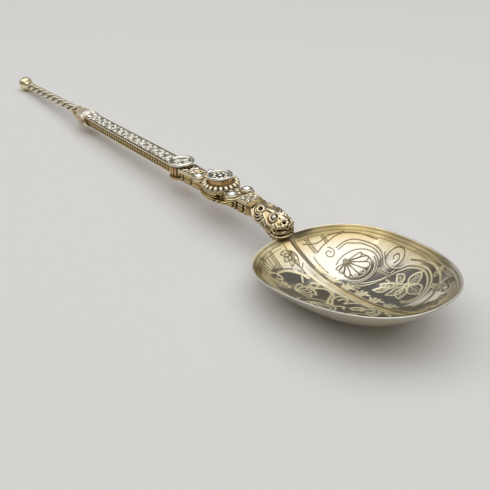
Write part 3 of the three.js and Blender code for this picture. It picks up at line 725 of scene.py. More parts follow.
def farLobeLines():
    lines = strokes(
        # long arcs that frame the shell scroll and run on round the leaf scroll
        [(8.4, 6.6), (7.8, 10), (8.3, 15), (10.6, 18.3), (15, 20.6), (20.5, 21.6)],
        [(25.6, 19.4), (27.4, 17.5), (29.2, 16.2), (32, 15.7), (34.6, 16.5), (36.4, 17.8), (39.8, 18.5),
         (43.4, 18.1), (46, 16.6), (47.9, 14.2), (48.7, 11.4), (48.2, 8.4), (46.8, 6.4), (44.6, 5.2)],
        [(34.8, 15.4), (37, 17.0), (40, 17.7), (43, 17.3), (45.3, 15.8), (47.1, 13.4), (47.8, 11),
         (47.4, 8.6), (46, 6.8), (43.8, 5.8)],
        [(46.6, 18.6), (49.6, 16.2), (51.5, 12.8), (52.2, 9.4), (51.4, 6.4), (49.4, 4.4)],
        [(36, 19.6), (40, 20.0), (44.4, 19.5), (47.4, 17.9)],
        # stem of the leaf spray, and lines by the heel
        [(41.2, 12.2), (38.6, 11.8), (36, 11.2), (33.6, 11.6)],
        [(9.0, 4.4), (12, 4.0), (16, 3.9)], [(4.2, 4.2), (6.2, 8.8), (6.8, 13.6), (9.4, 17.8)])
    for gap in (0.0, 0.85):  # double arc over the shell
        lines += strokes([(11 + gap, 12.6), (11.5 + gap, 15.6), (13.4 + gap, 17.9 - gap), (16.8, 19.3 - gap),
                          (20.6, 19.9 - gap), (24.2, 19.1 - gap), (26.6 - gap * 0.6, 17.4 - gap * 0.5)])
    for gap in (0.0, 1.25):  # strap between the scrolls
        lines += strokes([(34.4 - gap, 15.2), (32, 11 + gap * 0.3), (29.4 - gap * 0.6, 7.2 + gap * 0.5),
                          (26.6 - gap * 0.4, 5.0 + gap)])
    # shell in its ring
    lines += [arc(21.2, 11.3, 6.7, -70, 208), arc(21.2, 11.3, 6.0, -78, 70), arc(20.9, 11.5, 4.7, -120, 118),
              arc(16.4, 11.2, 0.75, 0, 360), arc(16.4, 11.2, 0.3, 0, 360)]
    flutes = (62, 5.6), (40, 7.2), (20, 8.3), (0, 8.5), (-20, 8.0), (-40, 6.8), (-62, 5.2), (-84, 4.4)
    lines += [petal(16.4, 11.2, degrees, 1.0, outer, outer * 0.29) for degrees, outer in flutes]
    # volutes, and the knot of the leaf spray
    lines += [arc(10.8, 9.6, 1.9, 150, -300, 0.5), arc(30, 19.0, 3.1, -40, 210, 2.9),
              arc(30.2, 19.0, 1.7, -60, 230, 0.5), arc(54.6, 11.6, 1.7, 200, -200, 0.4),
              arc(56.6, 8.2, 1.4, 160, -160, 0.4), arc(41, 12.1, 0.8, 0, 360)]
    lines += each(hatchedBar, ((28.0, 13.4, 33.0, 13.4, 1.1, 9), (5.4, 11.6, 8.0, 11.6, 0.9, 5),
                               (3.6, 6.3, 8.3, 6.3, 1.1, 8), (48.9, 13.2, 51.2, 13.0, 0.9, 4),
                               (24, 4.6, 28.6, 5.4, 1.1, 8)))
    # leaf spray, then leaves by the tip
    return lines + each(leaf, ((41.2, 12.3, 42.4, 17.0, 3.6, 4), (41.6, 12.0, 46.9, 10.0, 3.6, 4, 0.5),
                               (40.8, 11.4, 42.6, 6.6, 3.0, 3, -0.5), (40.4, 11.6, 37.6, 6.4, 2.6, 3, 0.5),
                               (38.8, 11.9, 35.2, 14.5, 2.2, 2, -0.6), (38.2, 11.4, 33.0, 9.4, 2.2, 3, 0.5),
                               (36.6, 9.6, 32.8, 6.4, 2.0, 2, 0.4), (53.0, 6.4, 57.6, 4.6, 1.9, 2, 0.3),
                               (52.8, 14.6, 55.8, 14.2, 1.5, 2)))


def nearLobeLines():
    lines = strokes(
        [(9.4, -5.0), (8.7, -9.5), (9.4, -14.6), (12, -18.6), (17, -21.0), (23, -21.8)],
        [(10.3, -5.2), (9.7, -9.5), (10.4, -14.2), (12.8, -17.8), (17.4, -20.1), (23, -20.9)],
        [(9.6, -0.9), (12.6, -4.2), (15.6, -6.4)], [(15.4, -0.9), (12.4, -4.0), (10.4, -6.8)])
    for degrees, reach in ((-12, 5.0), (-38, 5.4), (-64, 5.2), (-90, 4.4)):  # fan leaf by the heel
        turn = math.radians(degrees)
        lines += leaf(4.6, -1.2, 4.6 + reach * math.cos(turn), -1.2 + reach * math.sin(turn), 1.7, 2)
    for y in (-9.6, -10.4, -11.2, -12.0, -12.8):  # ruled field under it
        lines += strokes([(4.2 - (y + 9.6) * 0.2, y), (9.0, y - 0.1)])
    lines += each(hatchedBar, ((3.0, -8.4, 9.2, -8.7, 0.9, 10), (5.0, -13.6, 9.4, -13.8, 0.9, 7),
                               (35.2, -12.2, 37.0, -12.2, 1.0, 4)))
    for degrees in (28, 50, 72, 94, 116):  # palmette
        lines.append(petal(18.6, -12.6, degrees, 0.5, 5.4, 1.7))
    for degrees, outer in ((50, 4.6), (17, 5.4), (-17, 5.4), (-50, 4.6)):  # shell
        lines.append(petal(26.6, -13.6, degrees, 0.8, outer * 1.3, outer * 0.45))
    # rings of the shell and of the leaf scroll, then its leaves
    lines += [arc(29.5, -13.6, 5.4, -160, 170), arc(43, -11.6, 6.2, -190, 130)]
    return lines + each(leaf, ((41, -11.6, 46.6, -9.4, 3.0, 3), (41, -11.6, 45.2, -15.6, 3.0, 3),
                               (41, -11.6, 38.4, -7.6, 2.6, 3), (39.6, -4.2, 44.2, -4.4, 1.6, 2, 0.3),
                               (51, -6.4, 56.4, -5.0, 2.2, 3)))


def boldLines():
    # broad gilt strokes: scrolls of the near lobe
    lines = strokes(
        [(14.6, -3.4), (12, -4.3), (10.4, -6.2), (9.8, -8.8), (10.4, -11.6), (11.4, -12.6)],
        [(10.2, -14.8), (10.6, -12.6), (12, -11.8), (13.2, -12.6), (12.6, -13.8)],
        [(14.2, -13.4), (14.8, -12.2), (15.6, -13.2), (16.4, -12.4), (17.2, -13.4)],
        [(17.6, -6.6), (19.4, -6.2), (21.2, -6.6), (22.8, -7.8)], [(16.9, -4.2), (17.6, -3), (18.8, -2.5)],
        [(17.3, -5.2), (18.6, -5.4), (19.2, -4.2), (18.9, -3.4)],
        [(19.6, -6.4), (19.7, -4.6), (20.8, -3.1), (22.8, -2.5), (24.8, -3.2), (26.2, -5.2), (27.6, -7.4),
         (29.6, -9.4)],
        [(24.2, -2.2), (26.4, -3.8), (28.2, -6.2), (30.6, -8.6)],
        [(27.4, -4.4), (27.2, -3), (28.2, -1.9), (29.8, -1.8), (31.2, -3), (31.8, -4.6)],
        [(29.2, -4.6), (29.2, -3.4), (29.9, -2.8)], [(31.8, -4.8), (33, -3), (34.4, -1.7)],
        [(35.2, -5.8), (35.8, -4.2), (37.4, -2.9)], [(36.2, -6.2), (37.4, -4.8), (38, -3.4)],
        [(38.4, -4.8), (38.7, -2.8), (40.2, -1.9), (41.6, -2.7), (41, -3.8)],
        [(42.4, -1.8), (43.8, -3), (43, -4.8)], [(31.6, -9.4), (32.2, -7.4), (33.4, -6.6), (34.4, -7.8)],
        [(45, -1.8), (47.4, -2.6), (48.4, -4.2), (47, -4.8)])
    for k, reach in enumerate((1.3, 1.7, 2.2, 2.4, 2.0, 1.6)):  # fans of leaf along the far foot of the ridge
        middle, foot = 13.5 + 5.8 * k, 2.1 - 0.1 * k
        for lean in (-1.0, -0.4, 0.25, 0.9):
            lines += strokes([(middle + lean, foot), (middle + lean * 1.5, foot + reach * 0.55),
                              (middle + 0.6 + lean * 2.5, foot + reach * (1.1 - 0.4 * lean ** 2))])
    start, end, step = tooling["ropeTurn"]
    for degrees in np.arange(start, end, step):  # rope along the near border
        turns = np.radians([degrees + lean for lean in tooling["ropeLean"]])
        lines += strokes(np.stack(onRim(turns, np.linspace(*tooling["ropeInset"], len(turns))), 1))
    return lines


def tipLeaves():
    # inside the border at the tip
    made = []
    for degrees in (-8, 4, 16, 28, 40):
        turn = math.radians(degrees)
        x = bowl["widest"] + 34.6 * math.cos(turn) * (1 - 0.003 * abs(degrees))
        y = 34.6 * math.sin(turn) * 0.86
        made += leaf(x, y, x - 3.4 * math.cos(turn + 0.6), y - 3.4 * math.sin(turn + 0.6), 1.7, 2)
    return made


def faintLines():
    # border lines that stop on both sides of the beast's mouth, with short hatched stretches
    lines = [rimLine(inset, -tooling["borderTurn"], tooling["borderTurn"]) for inset in tooling["borders"]]
    for degrees in tooling["hatched"]:
        for k in range(tooling["hatches"]):
            turns = np.radians(degrees + k * tooling["hatchStep"] + np.array((0, tooling["hatchLean"])))
            reach = outlineAt(turns[:1], np.array(tooling["borders"][1:]))
            x, y = bowl["widest"] + reach * np.cos(turns), reach * np.sin(turns)
            lines += strokes(np.stack([x, y], 1))
    return lines


def ridgeFoot(x):
    return bowl["ridgeHalf"] * taperAt(x) + bowl["footGap"]


def engrave(x, y, share):
    # depth of the cuts, and where gilding is left in them: in the near lobe and towards the tip
    look = bowlShadingAndGilt
    foot = np.linspace(*bowl["footRun"], bowl["footPoints"])
    lines = [rimLine(*tooling["nearBorder"])]
    lines += [through(np.stack([foot, side * ridgeFoot(foot)], 1)) for side in (1, -1)]
    lines += farLobeLines() + nearLobeLines()
    fineLines.extend(tipLeaves())
    farGilt = ramp(x + (look["farLevel"] - y) * look["farSlant"], *look["farGilt"])
    gilded = np.where(y > 0, farGilt, ramp(x, *look["nearGilt"])) * (share < look["giltEdge"])
    cut = stroke(distanceTo(lines, x, y), 1, tooling["line"] + tooling["gilt"] * gilded)
    cut = np.maximum(cut, stroke(distanceTo(fineLines, x, y), tooling["fineShare"], tooling["fine"]))
    cut = np.maximum(cut, stroke(distanceTo(faintLines(), x, y), tooling["faintShare"], tooling["fine"]))
    broad = stroke(distanceTo(boldLines(), x, y), 1, tooling["bold"])
    gilded = np.maximum(gilded, np.minimum(broad * 2, 1)) * (1 - ramp(x, *look["giltEnd"]))
    return np.maximum(cut, broad), gilded


def markBowl(inside, x, y, share, cut, gilded):
    look = bowlShadingAndGilt
    turn = np.arctan2(y, x - bowl["widest"])
    mottle = sum(high * np.sin(count * turn + start) for high, count, start in look["mottle"])
    # a field by the near heel is painted in bright gilt and paler: gilding with a painted highlight
    field = ramp(x, *look["fieldRun"]) * ramp(y, *look["fieldSide"]) * (cut < look["fieldCut"])
    wearAndShading = field * look["fieldShine"] - look["lineShade"] * cut * (1 - gilded)
    # painted shade under the rim, by the heel and beside and on the ridge, and painted shadow at the beast's
    # mouth
    rimShade = look["rimShade"] + look["rimMottle"] * np.clip(0.5 + mottle, 0, 1)
    wearAndShading -= rimShade * ramp(share, *look["rimRun"])
    offCrest = 1 - stroke(y, 1, look["heelCrest"])
    wearAndShading -= look["heelShade"] * ramp(x, *look["heelRun"]) * offCrest * (y > 0)
    wearAndShading -= look["mouthShade"] * ramp(x, *look["mouthRun"])
    farFoot = stroke(y - ridgeFoot(x), look["footShade"], look["footWidth"])
    wearAndShading -= farFoot * ramp(x, *look["footFrom"]) * ramp(x, *look["footTo"])
    flank = stroke(y + look["flankAt"] * taperAt(x), look["flankShade"], look["flankWidth"])
    wearAndShading -= flank * ramp(x, *look["flankRun"])
    wearAndShading -= stroke(y, look["crestShade"], look["crestWidth"]) * ramp(x, *look["crestRun"])
    # painted shade: a dark ground between the scrolls of the near lobe
    ground = ramp(y, *look["groundSide"]) * ramp(x, *look["groundRun"]) * ramp(share, *look["groundEdge"])
    wearAndShading -= ground * (1 - np.minimum(cut * look["groundCut"], 1))
    ringGold = ramp(share, *look["ringGold"]) * (1 - look["ringLoss"] * ramp(x, *look["ringEnd"]))
    heelGold = ramp(x, *look["heelGold"]) * np.where(y > 0, 1, look["nearHeel"])
    ridgeGold = stroke(y, 1, look["ridgeGold"]) * ramp(x, *look["ridgeRun"])
    gold = np.maximum(np.maximum(ringGold, heelGold), ridgeGold) * look["goldShare"] + cut * look["lineGold"]
    markPoints(inside, "wearAndShading", wearAndShading)
    markPoints(inside, "cut", np.maximum(np.minimum(cut * look["lineMark"], 1), look["fieldTone"] * field))
    markPoints(inside, "tone", np.maximum(gilded, np.minimum(field * look["fieldEdge"], 1)))
    markPoints(inside, "gold", np.clip(gold, 0, 1))


def drawRim(inside):
    # out from the edge of the dish, over and down to the underside
    with editing(inside):
        bpy.ops.mesh.region_to_loop()
    for inset, height in bowl["rimSteps"]:
        with editing(inside, None):
            bpy.ops.mesh.extrude_region_move()
        chosen, points = chosenOf(inside), pointsOf(inside)
        turn = np.arctan2(points[chosen, 1], points[chosen, 0] - bowl["widest"])
        points[chosen] = np.stack([*onRim(turn, inset), np.full(len(turn), height)], 1)
        movePoints(inside, points)
        # the rim is marked fully rubbed and free of gold: worn silver with a painted highlight
        markPoints(inside, "wearAndShading", np.where(chosen, 1.0, markOf(inside, "wearAndShading")))
        markPoints(inside, "gold", np.where(chosen, 0.0, markOf(inside, "gold")))


def makeBowl():
    inside, u, v = grid(*bowl["steps"])
    x, y = dishPlan(u, v, bowl["rimWidth"])
    depth = bowl["depth"] - bowl["wall"]
    z = dishHeight(x, y, bowl["rimWidth"], depth, bowl["ridgeHeight"], bowl["innerPower"])
    fromMiddle = x - bowl["widest"]
    share = np.hypot(y, fromMiddle) / outlineAt(np.arctan2(y, fromMiddle), bowl["rimWidth"])
    cut, gilded = engrave(x, y, share)
    calm = ramp(rimHalf(x, bowl["rimWidth"]) - np.abs(y), 0, bowl["calmEdge"])
    for wave, lean, start in bowl["waves"]:  # beaten metal is never quite even
        across = x * math.cos(lean) + y * math.sin(lean)
        z = z + bowl["beaten"] * calm * np.sin(2 * math.pi * across / wave + start)
    movePoints(inside, x, y, z - tooling["depth"] * cut)
    markBowl(inside, x, y, share, cut, gilded)
    drawRim(inside)

    under, u, v = grid(*bowl["underSteps"])
    x, y = dishPlan(u, v, bowl["underInset"])
    ridge = bowl["ridgeHeight"] - bowl["ridgeSolid"]
    z = dishHeight(x, y, bowl["underInset"], bowl["depth"], ridge, bowl["dishPower"])
    movePoints(under, x, y, z - bowl["underDrop"])
    markPoints(under, "wearAndShading", 0.0)
    markPoints(under, "gold", bowl["underGold"])
    whole = joinAll([inside, under])
    with editing(whole, "DESELECT"):
        bpy.ops.mesh.select_non_manifold(extend=False, use_wire=False, use_multi_face=False,
                                         use_non_contiguous=False, use_verts=False)
        bpy.ops.mesh.bridge_edge_loops()
        bpy.ops.mesh.select_all(action="SELECT")
        bpy.ops.mesh.normals_make_consistent(inside=False)
    # the worn flats under the lobes stand on the table
    x, y, z = pointsOf(whole).T
    low = heel[1] + x * math.sin(bowlSlope) + z * math.cos(bowlSlope)
    movePoints(whole, x, y, z + np.maximum(-low, 0) / math.cos(bowlSlope))
    seat(whole, "engraved_bowl", "bowl", "bowl", "bowl", "gilt_bright", sharpFrom=60)


# ball knop: a turned ball that just touches the table, with a short collar, on the rod's line
knop = dict(
    middle=-57.3, radius=3.35, rise=0.16, ballShare=0.845, ballSteps=28, turnSteps=72,
    collar=((2.3, -54.4), (2.55, -54.1), (2.5, -53.4), (2.3, -52.6), (2.0, -51.8)))


def makeKnop():
    steps, radius = knop["ballSteps"], knop["radius"]
    turns = [math.pi * (1 - step / steps * knop["ballShare"]) for step in range(steps + 1)]
    profile = [(radius * math.sin(t), knop["middle"] + radius * math.cos(t)) for t in turns]
    piece = lathe([*profile, *roundOff(knop["collar"]), (0, knop["collar"][-1][1])], knop["turnSteps"])
    piece.data.transform(Matrix.Rotation(math.pi / 2, 4, "Y"))
    shift(piece, z=knop["rise"])
    markWearAndShading(piece, reach=0.5, rounds=2)
    seat(piece, "knop_turned", "ball_knop", "rod", "knop", "gilt_bright", sharpFrom=55)


# twisted rod: three strands, drawn straight and twisted afterwards
rod = dict(
    start=0.4, end=-53.8, radius=2.1, endRadius=2.0, strands=3, turns=3.25, apart=0.44, steps=(250, 72),
    groove=0.83, crest=0.95, mostWear=0.5)


def makeRod():
    sector = 2 * math.pi / rod["strands"]
    span = rod["end"] - rod["start"]

    def sizeAt(along):
        return rod["radius"] + (rod["endRadius"] - rod["radius"]) * along

    def pointAt(along, around):
        turn = around * 2 * math.pi
        off = np.abs((turn + sector / 2) % sector - sector / 2)
        strand = np.sqrt((1 - rod["apart"]) ** 2 - (rod["apart"] * np.sin(off)) ** 2)
        reach = sizeAt(along) * (rod["apart"] * np.cos(off) + strand)
        return rod["start"] + span * along, reach * np.cos(turn), reach * np.sin(turn)

    piece = tube(rod["steps"], pointAt)
    applyModifier(piece, "SIMPLE_DEFORM", deform_method="TWIST", deform_axis="X",
                  angle=-rod["turns"] * 2 * math.pi)
    x, y, z = pointsOf(piece).T
    height = np.hypot(y, z) / sizeAt((x - rod["start"]) / span)
    # the grooves between the strands are painted dark as painted shade, the crests paler
    wearAndShading = (height - rod["groove"]) / (rod["crest"] - rod["groove"])
    markPoints(piece, "wearAndShading", np.clip(wearAndShading, -1, rod["mostWear"]))
    seat(piece, "rod_twisted", "twisted_rod", "rod", "rod", "gilt_bright", sharpFrom=70)


# the mask's eyes: domes in a thin ring on the end of the shaft
maskEye = dict(
    x=-71.1, spread=1.45, base=4.1, size=(1.4, 1.15, 1.3), ringMinor=0.16, ringShare=1.06, ringRise=0.12,
    sunk=0.3)


def makeMaskEyes():
    for hand, side in bothSides:
        x, y, base = maskEye["x"], side * maskEye["spread"], maskEye["base"]
        dome = ball(x, y, base, maskEye["size"], segments=32, rings=20)
        with editing(dome):
            bpy.ops.mesh.bisect(plane_co=(0, 0, base - maskEye["sunk"]), plane_no=(0, 0, 1), use_fill=True,
                                clear_inner=True)
        collet = ring(0, 0, 0, 1, maskEye["ringMinor"], segments=40, sides=14)
        wide, deep = (size * maskEye["ringShare"] for size in maskEye["size"][:2])
        collet.data.transform(Matrix.Diagonal((wide, deep, 1, 1)))
        shift(collet, x, y, base + maskEye["ringRise"])
        piece = joinAll([dome, collet])
        markWearAndShading(piece, reach=0.5, rounds=1)
        seat(piece, "mask_eye_dome_" + hand, "mask_eye_" + hand, "shaft", "bead", "silver_bead", sharpFrom=60)


# mask cap: a snout that holds the rod, with brows round the eyes, pierced dots and a leaf-shaped jaw
cap = dict(
    front=-72.4, length=14.5, halfWide=4.2, halfHigh=2.7, mouth=2.1, middle=2.55, mouthRise=0.4, power=2.4,
    narrowing=((0, 0.1), (0.12, 0), (0.4, 0.1), (0.65, 0.45), (0.85, 0.8), (1, 1)), steps=(130, 150),
    dots=((0.8, 128), (0.66, 158), (0.8, 52), (0.66, 22)),  # share of the length, degrees round
    jawPlace=(-74.0, 3.75, 1.55), jawSize=(4.4, 0.65, 1.25), jawNarrow=0.35, jawDroop=0.55, jawWave=0.14,
    jawRidges=5.5)

# its carving: rise or painted shade and width of each stroke
capCut = dict(
    band=0.94, bandRise=(0.34, 0.022), bandGap=0.042, bandGroove=(-0.2, 0.016), bandShade=(-0.6, 0.018),
    wrinkle=0.62, wrinkleBow=0.025, foldGap=0.06, fold=(0.2, 0.04), wrinkleGroove=(-0.18, 0.035),
    wrinkleShade=(-0.6, 0.03), brows=(2.1, 3.0, 3.9), browRise=(0.42, 0.3), browGap=0.45,
    browGroove=(-0.1, 0.2), browShade=(-0.85, 0.2), bridge=(0.22, 0.5), bridgeRun=(0.15, 0.22),
    lid=(0.6, 1.0), lidAt=1.6, lidRun=(0.06, 0.16), dot=(-0.3, 0.45), dotShade=(-3.0, 0.5),
    dotShape=(0.6, 1, 1), hoodRun=(0.5, 0.38), hoodTop=(3.0, 4.2), hoodSlope=0.4, plainHighlight=0.2)


def capPoint(along, around):
    narrow = np.clip(eased(cap["narrowing"], along), 0, 1)
    wide = cap["halfWide"] + (cap["mouth"] - cap["halfWide"]) * narrow
    high = cap["halfHigh"] + (cap["mouth"] - cap["halfHigh"]) * narrow
    y, z = squarish(around, wide, high, cap["power"])
    return cap["front"] - cap["length"] * along, y, z + cap["middle"] + cap["mouthRise"] * along


def carveCap(points, normals):
    x, y, z = points.T
    along = (cap["front"] - x) / cap["length"]
    band, bow = along - capCut["band"], along - capCut["wrinkle"] - capCut["wrinkleBow"] * np.abs(y)
    groove = band + capCut["bandGap"]
    lift = stroke(band, *capCut["bandRise"]) + stroke(groove, *capCut["bandGroove"])
    lift += stroke(bow + capCut["foldGap"], *capCut["fold"]) + stroke(bow, *capCut["wrinkleGroove"])
    # pits carry painted shade in the grooves, under the brows and in the pierced dots
    pits = stroke(groove, *capCut["bandShade"]) + stroke(bow, *capCut["wrinkleShade"])
    eye = maskEye["x"], maskEye["spread"], maskEye["base"]
    fromEye = np.linalg.norm(np.stack([x, np.abs(y), z], 1) - eye, axis=1)
    for radius in capCut["brows"]:  # brows curl round each eye
        under = fromEye - radius - capCut["browGap"]
        lift += stroke(fromEye - radius, *capCut["browRise"]) + stroke(under, *capCut["browGroove"])
        pits += stroke(under, *capCut["browShade"])
    onTop = facingUp(normals)
    middle, length = capCut["bridgeRun"]
    lift += stroke(y, *capCut["bridge"]) * stroke(along - middle, 1, length) * onTop
    middle, length = capCut["lidRun"]
    for hand in (1, -1):  # lids that run back from the eyes
        lift += stroke(y - hand * capCut["lidAt"], *capCut["lid"]) * stroke(along - middle, 1, length) * onTop
    for share, degrees in cap["dots"]:
        spot = np.array(capPoint(np.array(share), degrees / 360))
        away = np.linalg.norm((points - spot) * capCut["dotShape"], axis=1)  # longer than wide
        lift += stroke(away, *capCut["dot"])
        # the pierced dot is painted dark: painted shade
        pits += stroke(away, *capCut["dotShade"])
    return lift, pits


def makeCap():
    piece = tube(cap["steps"], capPoint)
    points, normals = pointsOf(piece), normalsOf(piece)
    lift, pits = carveCap(points, normals)
    movePoints(piece, points + normals * lift[:, None])
    markPoints(piece, "pits", pits)
    parts = [piece]
    placeX, placeY, placeZ = cap["jawPlace"]
    for _, side in bothSides:
        jaw = ball(0, 0, 0, cap["jawSize"], segments=40, rings=24)
        x, y, z = pointsOf(jaw).T
        share = x / cap["jawSize"][0]
        z = z * (1 - cap["jawNarrow"] * share) - cap["jawDroop"] * np.maximum(share, 0) ** 1.5
        y = y + side * cap["jawWave"] * np.cos(z * cap["jawRidges"]) * (1 - share ** 2)
        movePoints(jaw, x + placeX, y + side * placeY, z + placeZ)
        parts.append(jaw)
    piece = joinAll(parts)
    # the hood is painted pale where it faces up: a painted highlight
    x, y, z = pointsOf(piece).T
    hood = ramp((cap["front"] - x) / cap["length"], *capCut["hoodRun"])
    rubAndSheen = capCut["plainHighlight"] + (1 - capCut["plainHighlight"]) * hood
    rubAndSheen *= facingUp(normalsOf(piece), capCut["hoodSlope"]) * ramp(z, *capCut["hoodTop"])
    markWearAndShading(piece, reach=0.5, rounds=2, extra=rubAndSheen + markOf(piece, "pits"))
    seat(piece, "mask_cap_carved", "mask_cap", "shaft", "cap", "gilt_relief", sharpFrom=60)


# shaft: a bar with hollow sides, a carved panel in its top and a notched band in each side
shaft = dict(
    start=-2.7, end=-72.4, half=3.5, endShare=0.9, taperFrom=-4.65, taperLength=67.7, low=0.75, top=4.35,
    fillet=0.62, hollow=0.8, border=0.7, recess=0.6, edge=0.12, edgeAngle=32, darkFrom=1.0, hollowShade=-0.8,
    borderWear=0.25, panelBack=-69.75, panelFront=-4.1, panelHalf=2.62, panelTop=4.12, panelLow=3.85,
    relief=0.36, scrollStart=0.4, scroll=4.6, stroke=0.24, rim=(0.7, 0.22),
    handCut=((0.5, 0.83, 0), (0.28, 2.1, 1)), bandBack=-72.1, bandFront=-3.4, bandHalf=0.8, bandMiddle=2.55,
    bandTop=3.32, bandLow=2.72, bandDepth=0.38, notchPitch=1.9, notchHalf=0.3, notchFlare=0.62,
    notchEdge=0.14, notchReach=0.66, panelSteps=(520, 44), bandSteps=(420, 16))


def shaftTaper(x):
    return 1 + (shaft["endShare"] - 1) * np.clip((shaft["taperFrom"] - x) / shaft["taperLength"], 0, 1)


def makeShaftBar():
    half, low, top = shaft["half"], shaft["low"], shaft["top"]
    deep, inner = half - shaft["hollow"], half - shaft["border"]
    step, shoulder = low + shaft["fillet"], top - shaft["fillet"]
    right = [(half, low), (half, step), (deep, step), (deep, shoulder), (half, shoulder), (half, top),
             (inner, top), (inner, top - shaft["recess"])]
    section = right + [(-y, z) for y, z in reversed(right)]
    piece = drawnBar(section, shaft["start"], shaft["end"], shaft["endShare"])
    applyModifier(piece, "BEVEL", width=shaft["edge"], segments=3, limit_method="ANGLE",
                  angle_limit=math.radians(shaft["edgeAngle"]), harden_normals=False)
    # the sides and the floor of the panel's bed are painted darker than the borders: painted shade
    x, y, z = pointsOf(piece).T
    inside = (np.abs(y) < (half - shaft["border"] / 2) * shaftTaper(x)) & (z > shaft["darkFrom"])
    markPoints(piece, "wearAndShading", np.where(inside, shaft["hollowShade"], shaft["borderWear"]))
    seat(piece, "shaft_drawn", "shaft_bar", "shaft", "bright", "gilt_bright", sharpFrom=35)


def scrollLines(back, front, period, half):
    # a waving vine with a volute and leaves in each hollow
    x = np.arange(back, front, period / 24)
    lines = strokes(np.stack([x, 0.36 * half * np.sin(2 * math.pi * (x - back) / period)], 1))
    for k in range(int((front - back) / (period / 2))):
        side = 1 if k % 2 == 0 else -1
        cx = back + (k + 0.5) * period / 2
        lines.append(arc(cx, -side * 0.38 * half, 0.46 * half, side * 100, side * -380, 0.12 * half))
        for lean in (-0.52, 0.0, 0.52):
            lines += strokes([(cx + lean * period / 5, side * 0.58 * half),
                              (cx + lean * period / 2.6 + 0.3, side * 0.93 * half)])
        lines += strokes([(cx - period * 0.22, -side * 0.9 * half), (cx - period * 0.12, -side * 0.6 * half)])
    return lines


def makeShaftPanel():
    back, front, half = shaft["panelBack"], shaft["panelFront"], shaft["panelHalf"]
    planAt = flatPlan(back, front, lambda x: half * shaftTaper(x))

    def heightAt(x, y):
        across = y / shaftTaper(x)
        uneven = x + sum(reach * np.sin(x * pace + start) for reach, pace, start in shaft["handCut"])
        lines = scrollLines(back + shaft["scrollStart"], front, shaft["scroll"], half)
        scrolls = stroke(distanceTo(lines, uneven, across), 1, shaft["stroke"])
        rim = stroke(half - np.abs(across), *shaft["rim"])
        return shaft["panelTop"] + shaft["relief"] * np.maximum(scrolls, rim)

    piece = relief(shaft["panelSteps"], planAt, heightAt, shaft["panelLow"], reach=0.22, depth=0.16)
    seat(piece, "shaft_panel_carved", "shaft_panel", "shaft", "panel", "gilt_relief", sharpFrom=60)


def makeShaftBands():
    half, pitch = shaft["bandHalf"], shaft["notchPitch"]
    planAt = flatPlan(shaft["bandBack"], shaft["bandFront"], lambda x: half)

    def heightAt(x, y):
        fromNotch = np.abs((x / pitch) % 1 - 0.5) * pitch
        reach = shaft["notchFlare"] * np.abs(y) / half + shaft["notchHalf"]
        notch = np.clip((reach - fromNotch) / shaft["notchEdge"], 0, 1) * (np.abs(y) < shaft["notchReach"])
        return shaft["bandTop"] - shaft["bandDepth"] * notch

    for hand, side in bothSides:
        piece = relief(shaft["bandSteps"], planAt, heightAt, shaft["bandLow"], reach=0.25, depth=1.2)
        # the plate is stood upright in the hollow of the bar's side
        x, y, z = pointsOf(piece).T
        movePoints(piece, x, side * z * shaftTaper(x), shaft["bandMiddle"] + y)
        closeUp(piece, fill=False)
        names = "shaft_band_notched_" + hand, "shaft_band_" + hand
        seat(piece, *names, "shaft", "deep", "gilt_deep", sharpFrom=50)


# stem: base and core with slots in their sides, in the frame at the back of the head
stem = dict(
    front=-2.45, back=-42.6, boss=-21.2, drum=-neckToDrum, steps=480,
    slots=(-42.4, -40.2, -35.1, -18.0, -15.9, -9.9, -7.9, -4.4), slotWidth=0.95, slotFloor=2.1,
    slotEdge=0.09, slotMargin=0.05, slotMouth=3.1,
    base=dict(half=3.6, reach=10.2, swell=5.5,
        profile=((-0.3, 0), (-0.05, 0.06), (0.08, 0.22), (0.05, 0.42), (-0.3, 0.48), (-0.42, 0.6),
            (-0.3, 0.72), (0.06, 0.78), (0.08, 0.95), (-0.05, 1.08), (-0.4, 1.2))),
    core=dict(half=3.35, reach=5.1, swell=5.1,
        profile=((-0.2, 1.15), (0, 1.3), (0.03, 1.6), (-0.05, 1.74), (-0.4, 1.8), (-0.48, 1.92),
            (-0.4, 2.04), (0, 2.1), (0.04, 2.3), (0.02, 2.75), (-0.12, 2.95), (-0.4, 3.05), (-0.45, 3.4))))


def makeStemPiece(size, name, node, slotName):
    def halfAt(x):
        bulge = size["swell"] * np.sqrt(np.clip(1 - ((x - stem["boss"]) / size["reach"]) ** 2, 0, 1))
        half = np.maximum(size["half"], bulge)
        for slotX in stem["slots"]:  # the outline dips to the floor of each slot
            share = np.clip((stem["slotWidth"] / 2 - np.abs(x - slotX)) / stem["slotEdge"], 0, 1)
            half = half + (np.minimum(half, stem["slotFloor"]) - half) * share
        return half

    piece = moulding(sideOutline(halfAt, stem["back"], stem["front"], stem["steps"]), size["profile"])
    # deep in a slot the surface is painted black: painted shade
    x, y, _ = pointsOf(piece).T
    fromSlot = np.min(np.abs(x[:, None] - stem["slots"]), axis=1)
    deep = (fromSlot < stem["slotWidth"] / 2 + stem["slotMargin"]) & (np.abs(y) < stem["slotMouth"])
    markWearAndShading(piece, reach=0.4, rounds=0, extra=-1.0 * deep)
    seat(piece, name, node, "stem", "deep", slotName, sharpFrom=40)


def makeStem():
    makeStemPiece(stem["base"], "stem_base_moulded", "stem_base", "gilt_relief")
    makeStemPiece(stem["core"], "stem_core_slotted", "stem_core", "gilt_deep")


